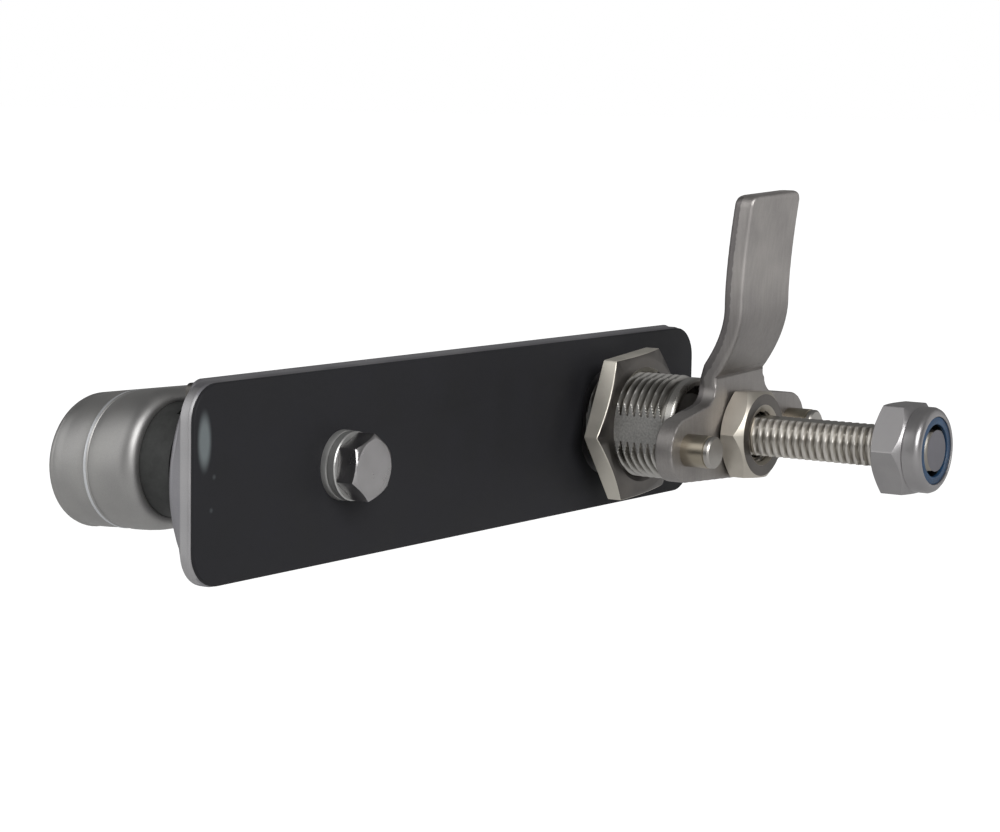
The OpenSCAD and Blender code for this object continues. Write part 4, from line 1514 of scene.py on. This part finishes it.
    def mark_parting(self, piece: Piece) -> None:
        """Marks the band on the tongue's sides where the halves of the mould met.

        Args:
            piece: The casting before it is swung.
        """
        low, high, fade_in, fade_out = 2.1, 4.6, 0.7, 0.6
        values = []
        for v in piece.data.vertices:
            x, y, z = v.co / MM
            depth = y - (self.front - self.set_back(z))
            on_side = abs(x) > self.half_w - 0.9 and z > 6
            inside = share((depth - low) / fade_in) * share((high - depth) / fade_out)
            values.append(inside if on_side else 0.0)
        layer = piece.data.attributes.new("parting", "FLOAT", "POINT")
        layer.data.foreach_set("value", values)

    def pin(self, side: int) -> Piece:
        """Makes a rod pin: turned, with a faint neck before its chamfered end and a riveted tail.

        Args:
            side: 1 for the pin at +X, -1 for the other.

        Returns:
            The piece, not yet dressed.
        """
        end, r = self.front - self.pin_l, self.pin_r
        cos, sin = math.cos(math.radians(self.turn)), math.sin(math.radians(self.turn))
        x, z = side * self.ear_x, -self.ear_drop
        profile = [(r - 0.4, end), (r - 0.08, end + 0.32), (r - 0.08, end + 1.0), (r - 0.2, end + 1.06),
                   (r - 0.2, end + 1.2), (r, end + 1.3), (r, self.front), (r - 0.5, self.front),
                   (r - 0.5, self.back - 0.6), (r, self.back - 0.05), (r - 0.6, self.back)]
        name = "rod_pin_stud_left" if side < 0 else "rod_pin_stud_right"
        return turned(name, profile, even_angles(96), centre=(x * cos - z * sin, x * sin + z * cos))

    def build(self) -> None:
        """Makes cam and pins."""
        place_piece(self.casting(), CAM_CAST, Body.ROD, "cast_steel", "cam")
        for side in (-1, 1):
            pin = self.pin(side)
            place_piece(pin, PIN_STEEL, Body.ROD, "turned_steel", "rod_pins")
            dress_part(pin, PLAIN_STEEL, lambda centre, normal: centre.y < self.front - self.pin_l + 1.1)

@dataclass
class Handle:
    """Cast handle over the plate, its grip hollow underneath."""

    lock_x: float = 112.5
    radius: float = 12.1
    grip_low: float = 13.8
    heel_low: float = 9.1
    bend: float = 22.3
    top: float = 30.26
    dip: float = 2.4
    pivot_y: float = 22.0
    heel_h: float = 12.4
    heel_gap: float = 0.15
    travel: float = 6.0
    lift: float = 40.0
    flange_r: float = 14.0
    wall: float = 3.6
    hollow: float = 9.5
    rib: float = 2.0
    play: float = 1.3
    lean: float = 0.088
    lean_x: float = 35.0
    lean_run: float = 55.0
    heel_x: float = 22.0
    heel_run: float = 4.0
    collar_x: float = 92.0
    collar_run: float = 8.0
    collar_drop: float = 1.1
    end_trim: float = 0.04
    pivot_r: float = 2.53
    barrel_r: float = 9.6
    barrel_top: float = 28.1
    plug_r: float = 6.6
    rivet_x: float = 12.0
    rivet_r: float = 1.53
    rivet_low: float = 25.3

    def crown(self, x: float) -> float:
        """Height of the top face along the handle."""
        start, end = -self.lock_x + 18, -self.radius
        return self.top - self.dip * (1 - (2 * share((x - start) / (end - start)) - 1) ** 2)

    def floor_line(self, x: float) -> float:
        """Height of the lower rim along the handle."""
        heel = eased((x + self.heel_x) / self.heel_run)
        collar = eased((-x - self.collar_x) / self.collar_run)
        return self.grip_low + (self.heel_low - self.grip_low) * heel - self.collar_drop * collar

    def sides(self) -> list[tuple[float, float, float]]:
        """Stations of the outer skin from rim to crown.

        Returns:
            For each station the inset of the walls, that of the lock end, and the height: 0 at the rim,
            1 at the bend, 2 at the crown.
        """
        bead, fillet_in, fillet_up = 0.34, 2.05, 0.3
        walls = []
        for t in (math.radians(10 * i) for i in range(10)):
            inward = fillet_in * (1 - math.sin(t))
            walls.append((0.4 + inward, inward, fillet_up * (1 - math.cos(t))))
        walls += [(0.36, 0.0, 0.5), (0.45, 0.04, 0.75), (0.75, 0.22, 0.91), (0.94, 0.36, 0.95)]
        walls += [(0.94 - bead * out, 0.36 - bead * out, v)
                  for out, v in ((0.7, 0.97), (1, 1.0), (0.7, 1.035))]
        walls += [(0.92, 0.34, 1.06), (0.78, 0.12, 1.15), (0.78, 0.05, 1.35), (0.88, 0.08, 1.6),
                  (1.05, 0.22, 1.8), (0.9, 0.06, 1.84), (0.86, 0.0, 1.87), (0.9, 0.0, 1.9),
                  (1.0, 0.07, 1.92)]
        edge, last, end_last, v = 0.8, 1.0, 0.07, 1.92
        return walls + [(last + edge * (1 - math.cos(t)), end_last + edge * (1 - math.cos(t)),
                         v + (2 - v) * math.sin(t)) for t in (math.radians(15 * i) for i in range(1, 7))]

    def tilt(self, x: float, y: float) -> float:
        """Sideways lean of the casting, which grows towards the lock end and the crown."""
        return -self.lean * eased((-x - self.lean_x) / self.lean_run) * max(0.0, y - self.grip_low)

    def skin(self) -> Piece:
        """Makes the outer skin: round ends, straight walls, a bead at the bend and one below the crown.

        Returns:
            The piece.
        """
        r, along = self.radius, 56
        reaches = (0.7, 2.0, 5.0, 8.0)
        stations = [(r - reach, r - reach, 0.0) for reach in reaches] + self.sides()
        stations += [(r - reach, r - reach, 2.0) for reach in reversed(reaches)]
        angles = [math.radians(a) for a in range(-90, 91, 5)]
        rings = []
        for inset, end_inset, v in stations:
            across, end = r - inset, r - self.end_trim - end_inset
            flat = [(across * math.cos(a), across * math.sin(a)) for a in angles]
            flat += [(-self.lock_x * i / along, across) for i in range(1, along)]
            flat += [(-self.lock_x - end * math.cos(a), -across * math.sin(a)) for a in angles]
            flat += [(-self.lock_x * (1 - i / along), -across) for i in range(1, along)]
            ring = []
            for x, z in flat:
                low, high = self.floor_line(x), self.crown(x)
                y = low + (self.bend - low) * v if v <= 1 else self.bend + (high - self.bend) * (v - 1)
                ring.append((x, y, z + self.tilt(x, y)))
            rings.append(ring)
        return stacked("handle_casting", rings, 40, apex=len(angles) // 2)

    def on_bead(self, centre: Vector, normal: Vector) -> bool:
        """Tells whether a face lies on the bead at the bend of the outer skin.

        Args:
            centre: Centre of the face in millimetres.
            normal: Its normal.

        Returns:
            True where it does.
        """
        turn = math.radians(self.play)
        x = centre.x * math.cos(turn) - centre.z * math.sin(turn)
        z = centre.x * math.sin(turn) + centre.z * math.cos(turn) - self.tilt(x, centre.y)
        outside = math.hypot(max(0.0, -self.lock_x - x, x), z) > self.radius - 1.4
        return outside and -0.3 < centre.y - self.bend < 0.3 and abs(normal.y) < 0.85

    def heel_point(self, degrees: float) -> Flat:
        """Point of the heel that bears on the flange.

        Args:
            degrees: Lift angle.

        Returns:
            Its x and y when the handle lies flat.
        """
        a, rate = math.radians(degrees), self.travel / math.radians(self.lift)
        h = self.heel_h - self.heel_gap - rate * a
        return h * math.sin(a) - rate * math.cos(a), -h * math.cos(a) - rate * math.sin(a) + self.pivot_y

    def underside(self) -> Piece:
        """Makes the tool that cuts the heel curve, the open stop and the underside behind the heel.

        Returns:
            The tool.
        """
        far, toe, behind = self.radius + 6, 1 - self.flange_r, -26.0
        last = self.heel_point(self.lift)
        outline = [(behind, 0.0), (behind, self.grip_low), (toe - 4, self.grip_low),
                   (toe, self.heel_point(0)[1])]
        outline += [self.heel_point(self.lift * i / 12) for i in range(13)]
        outline += [(far, last[1] + (far - last[0]) * math.tan(math.radians(self.lift))), (far, 0.0)]
        return prism("underside", outline, -20, 20, across_z)

    def eye_slot(self) -> Piece:
        """Makes the tool for the slot that takes the eye of the rod.

        Returns:
            The tool.
        """
        half, depth, far, pivot = 5.8, 3.8, 2 * self.heel_h, self.pivot_y
        cos, sin = math.cos(math.radians(self.lift)), math.sin(math.radians(self.lift))
        outline = [(-half, pivot), (-half, pivot - far), (far * sin, pivot - far - far * cos),
                   (half * cos + far * sin, pivot + half * sin - far * cos),
                   (half * cos, pivot + half * sin)]
        outline += arc((0, pivot), half + 0.2, self.lift, 180, 24)
        return prism("slot", outline, -depth, depth, across_z)

    def bays(self) -> list[Piece]:
        """Makes the tools for the three cored bays of the grip.

        Returns:
            The tools.
        """
        start, end, count = -self.lock_x + 15.05, -self.radius - 6, 3
        bay = (end - start - (count - 1) * self.rib) / count
        half_z, r = self.radius - self.wall, 2.0
        tools = []
        for i in range(count):
            middle = start + bay / 2 + i * (bay + self.rib)
            outline: list[Flat] = []
            for sx, sz, turn in ((1, 1, 0), (-1, 1, 90), (-1, -1, 180), (1, -1, 270)):
                outline += arc((middle + sx * (bay / 2 - r), sz * (half_z - r)), r, turn, turn + 90, 6)
            tools.append(prism("bay", outline, 8, self.grip_low + self.hollow, across_y))
        return tools

    def casting(self) -> Piece:
        """Makes the handle with its slot, bays and bores.

        Returns:
            The piece, not yet dressed.
        """
        at_lock, at_rivet, above = (-self.lock_x, 0.0), (self.rivet_x - self.lock_x, 0.0), 33
        tools = [self.underside(), self.eye_slot(), cross_bar("pivot", self.pivot_r, self.pivot_y, 20),
                 *self.bays(), bar("barrel_bore", self.barrel_r, 5, self.barrel_top, at_lock, 96),
                 bar("plug_hole", self.plug_r, self.barrel_top - 1.1, above, at_lock),
                 bar("rivet_hole", self.rivet_r, self.rivet_low, above, at_rivet, 32)]
        return swing(cut(self.skin(), tools, sharp=40), self.play)

    def build(self) -> None:
        """Makes the handle and dresses what it carries."""
        handle = self.casting()
        place_piece(handle, CAST, Body.HANDLE, "cast_steel", "handle_lever")
        # Painted highlight: the bead at the bend gets a paler finish than the rest of the casting
        dress_part(handle, BEAD_HIGHLIGHT, self.on_bead)
        keep_nodes(pivot_pin=PLAIN_STEEL, lock_barrel=BLACK, barrel_screw=SPRING_STEEL,
                   cover_rivet=PLAIN_STEEL, key_plug=BRASS, lock_wafers=BRASS, lock_tongue=DULL_STEEL,
                   tongue_screw=SPRING_STEEL, dust_cover=CAST)


@dataclass
class InnerParts:
    """Parts inside boss and collar, whose shape is right as it is."""

    def build(self) -> None:
        """Dresses the nodes."""
        # Painted shade: the spindle inside the boss gets the dark steel
        keep_nodes(seal_ring=RUBBER, thrust_washer=ACETAL, spindle=DULL_STEEL, retaining_ring=SPRING_STEEL)


# Stage, light and camera


@dataclass(frozen=True)
class PhotoCamera:
    """Camera that stood behind the handle end, a little above the plate."""

    yaw: float = 56.053
    pitch: float = -6.538
    roll: float = 0.882
    position: Point = (-468.19, -290.06, 63.71)
    focal_px: float = 2866.0
    width_px: float = 1000.0
    sensor: float = 36.0

    def build(self) -> None:
        """Makes the camera."""
        yaw, pitch, roll = (math.radians(a) for a in (self.yaw, self.pitch, self.roll))
        ahead = Vector((math.sin(yaw) * math.cos(pitch), math.cos(yaw) * math.cos(pitch), math.sin(pitch)))
        right = Vector((math.cos(yaw), -math.sin(yaw), 0))
        up = right.cross(ahead)
        right, up = (right * math.cos(roll) + up * math.sin(roll),
                     up * math.cos(roll) - right * math.sin(roll))
        data = bpy.data.cameras.new("photo_camera")
        data.sensor_fit = "HORIZONTAL"
        data.sensor_width = self.sensor
        data.lens = self.focal_px / self.width_px * self.sensor
        data.clip_start = 0.01
        data.clip_end = 20
        camera = add_object("photo_camera", data)
        rotation = Matrix((right, up, -ahead)).transposed()
        camera.matrix_world = Matrix.Translation(Vector(self.position) * MM) @ rotation.to_4x4()
        bpy.context.scene.camera = camera


@dataclass(frozen=True)
class Softbox:
    """Square studio lamp: where it stands, where it points, its side and its power."""

    name: str
    position: Point
    target: Point
    side: float
    power: float
    tint: str = "#ffffff"

    def build(self) -> None:
        """Makes the lamp; sizes are in metres."""
        data = bpy.data.lights.new(self.name, "AREA")
        data.shape = "SQUARE"
        data.size = self.side
        data.energy = self.power
        data.color = linear(self.tint)[:3]
        lamp = add_object(self.name, data)
        toward = Vector(self.target) - Vector(self.position)
        lamp.location = self.position
        lamp.rotation_mode = "QUATERNION"
        lamp.rotation_quaternion = toward.to_track_quat("-Z", "Y")


@dataclass
class Studio:
    """Grey paper floor and grey room, which the camera sees white, and soft lamps; in metres."""

    paper: str = "#bcbcbc"
    room: str = "#ffffff"
    room_strength: float = 0.14
    floor_in_metal: float = 0.34
    room_in_metal: float = 0.04
    near_glow: float = 0.86
    near: float = 0.3
    far: float = 1.2
    floor_half: float = 30.0
    floor_room: float = 0.002
    middle: Point = (-0.04, -0.01, 0.005)

    def shown(self, tree: Tree, in_metal: float) -> Socket:
        """Works out how much of the white background a ray sees.

        Args:
            tree: Tree of the floor or the world.
            in_metal: Share that a reflection shows.

        Returns:
            1 for the camera and through glass, less in a reflection, and 0 for light.
        """
        rays = add_node(tree, "ShaderNodeLightPath")
        metal = add_node(tree, "ShaderNodeMath", {1: in_metal}, {0: rays.outputs["Is Glossy Ray"]},
                         operation="MULTIPLY")
        clear = add_node(tree, "ShaderNodeMath", links={
            0: rays.outputs["Is Camera Ray"], 1: rays.outputs["Is Transmission Ray"]}, operation="MAXIMUM")
        return add_node(tree, "ShaderNodeMath", links={0: clear.outputs[0], 1: metal.outputs[0]},
                        operation="MAXIMUM").outputs[0]

    def floor(self) -> None:
        """Paper below the reach of the swung handle; it glows less near the object, to show shadows."""
        lowest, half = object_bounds()[0], self.floor_half
        low = min(lowest.z, lowest.x) - self.floor_room
        mesh = bpy.data.meshes.new("floor")
        mesh.from_pydata([(x * half, y * half, low) for x, y in ((-1, -1), (1, -1), (1, 1), (-1, 1))], [],
                         [(0, 1, 2, 3)])
        floor = add_object("floor", mesh)
        floor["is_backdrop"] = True
        material = bpy.data.materials.new("pale_paper_floor")
        tree = empty_tree(material)
        paper = add_node(tree, "ShaderNodeBsdfDiffuse", {"Color": linear(self.paper)})
        place = add_node(tree, "ShaderNodeTexCoord")
        distance = add_node(tree, "ShaderNodeVectorMath", links={0: place.outputs["Object"]},
                            operation="LENGTH")
        glow = add_node(tree, "ShaderNodeMapRange", {
            "From Min": self.near, "From Max": self.far, "To Min": self.near_glow, "To Max": 1.0,
        }, {"Value": distance.outputs["Value"]})
        shown = self.shown(tree, self.floor_in_metal)
        strength = add_node(tree, "ShaderNodeMath", links={0: glow.outputs["Result"], 1: shown},
                            operation="MULTIPLY")
        white = add_node(tree, "ShaderNodeEmission", links={"Strength": strength.outputs[0]})
        both = add_node(tree, "ShaderNodeAddShader", links={0: paper.outputs[0], 1: white.outputs[0]})
        add_node(tree, "ShaderNodeOutputMaterial", links={"Surface": both.outputs[0]})
        floor.data.materials.append(material)

    def surroundings(self) -> None:
        """Grey room that lights the object evenly."""
        world = bpy.data.worlds.new("studio_room")
        tree = empty_tree(world)
        grey = add_node(tree, "ShaderNodeBackground",
                        {"Strength": self.room_strength, "Color": linear(self.room)})
        white = add_node(tree, "ShaderNodeBackground", {"Strength": 1.0, "Color": linear("#ffffff")})
        mixed = add_node(tree, "ShaderNodeMixShader", links={
            0: self.shown(tree, self.room_in_metal), 1: grey.outputs[0], 2: white.outputs[0]})
        add_node(tree, "ShaderNodeOutputWorld", links={"Surface": mixed.outputs[0]})
        bpy.context.scene.world = world

    def build(self) -> None:
        """Makes floor, room and lamps."""
        self.floor()
        self.surroundings()
        for name, position, side, power in (("key_softbox", (-0.6, -1.0, 0.62), 0.7, 11.5),
                                            ("front_softbox", (-0.85, 0.62, 0.46), 1.1, 4.2),
                                            ("side_softbox", (0.9, -0.72, 0.15), 0.9, 1.2)):
            Softbox(name, position, self.middle, side, power).build()


def main() -> None:
    """Builds stage and object, and reports each piece."""
    logging.basicConfig(level=logging.INFO, format="%(message)s")
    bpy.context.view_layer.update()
    bpy.context.scene.view_settings.view_transform = "Standard"
    PhotoCamera().build()
    Studio().build()
    base = Base()
    base.build()
    Gasket(base).build()
    base.fasten()
    MountingBolt().build()
    Rod().build()
    Cam().build()
    Handle().build()
    InnerParts().build()


if __name__ == "__main__":
    main()
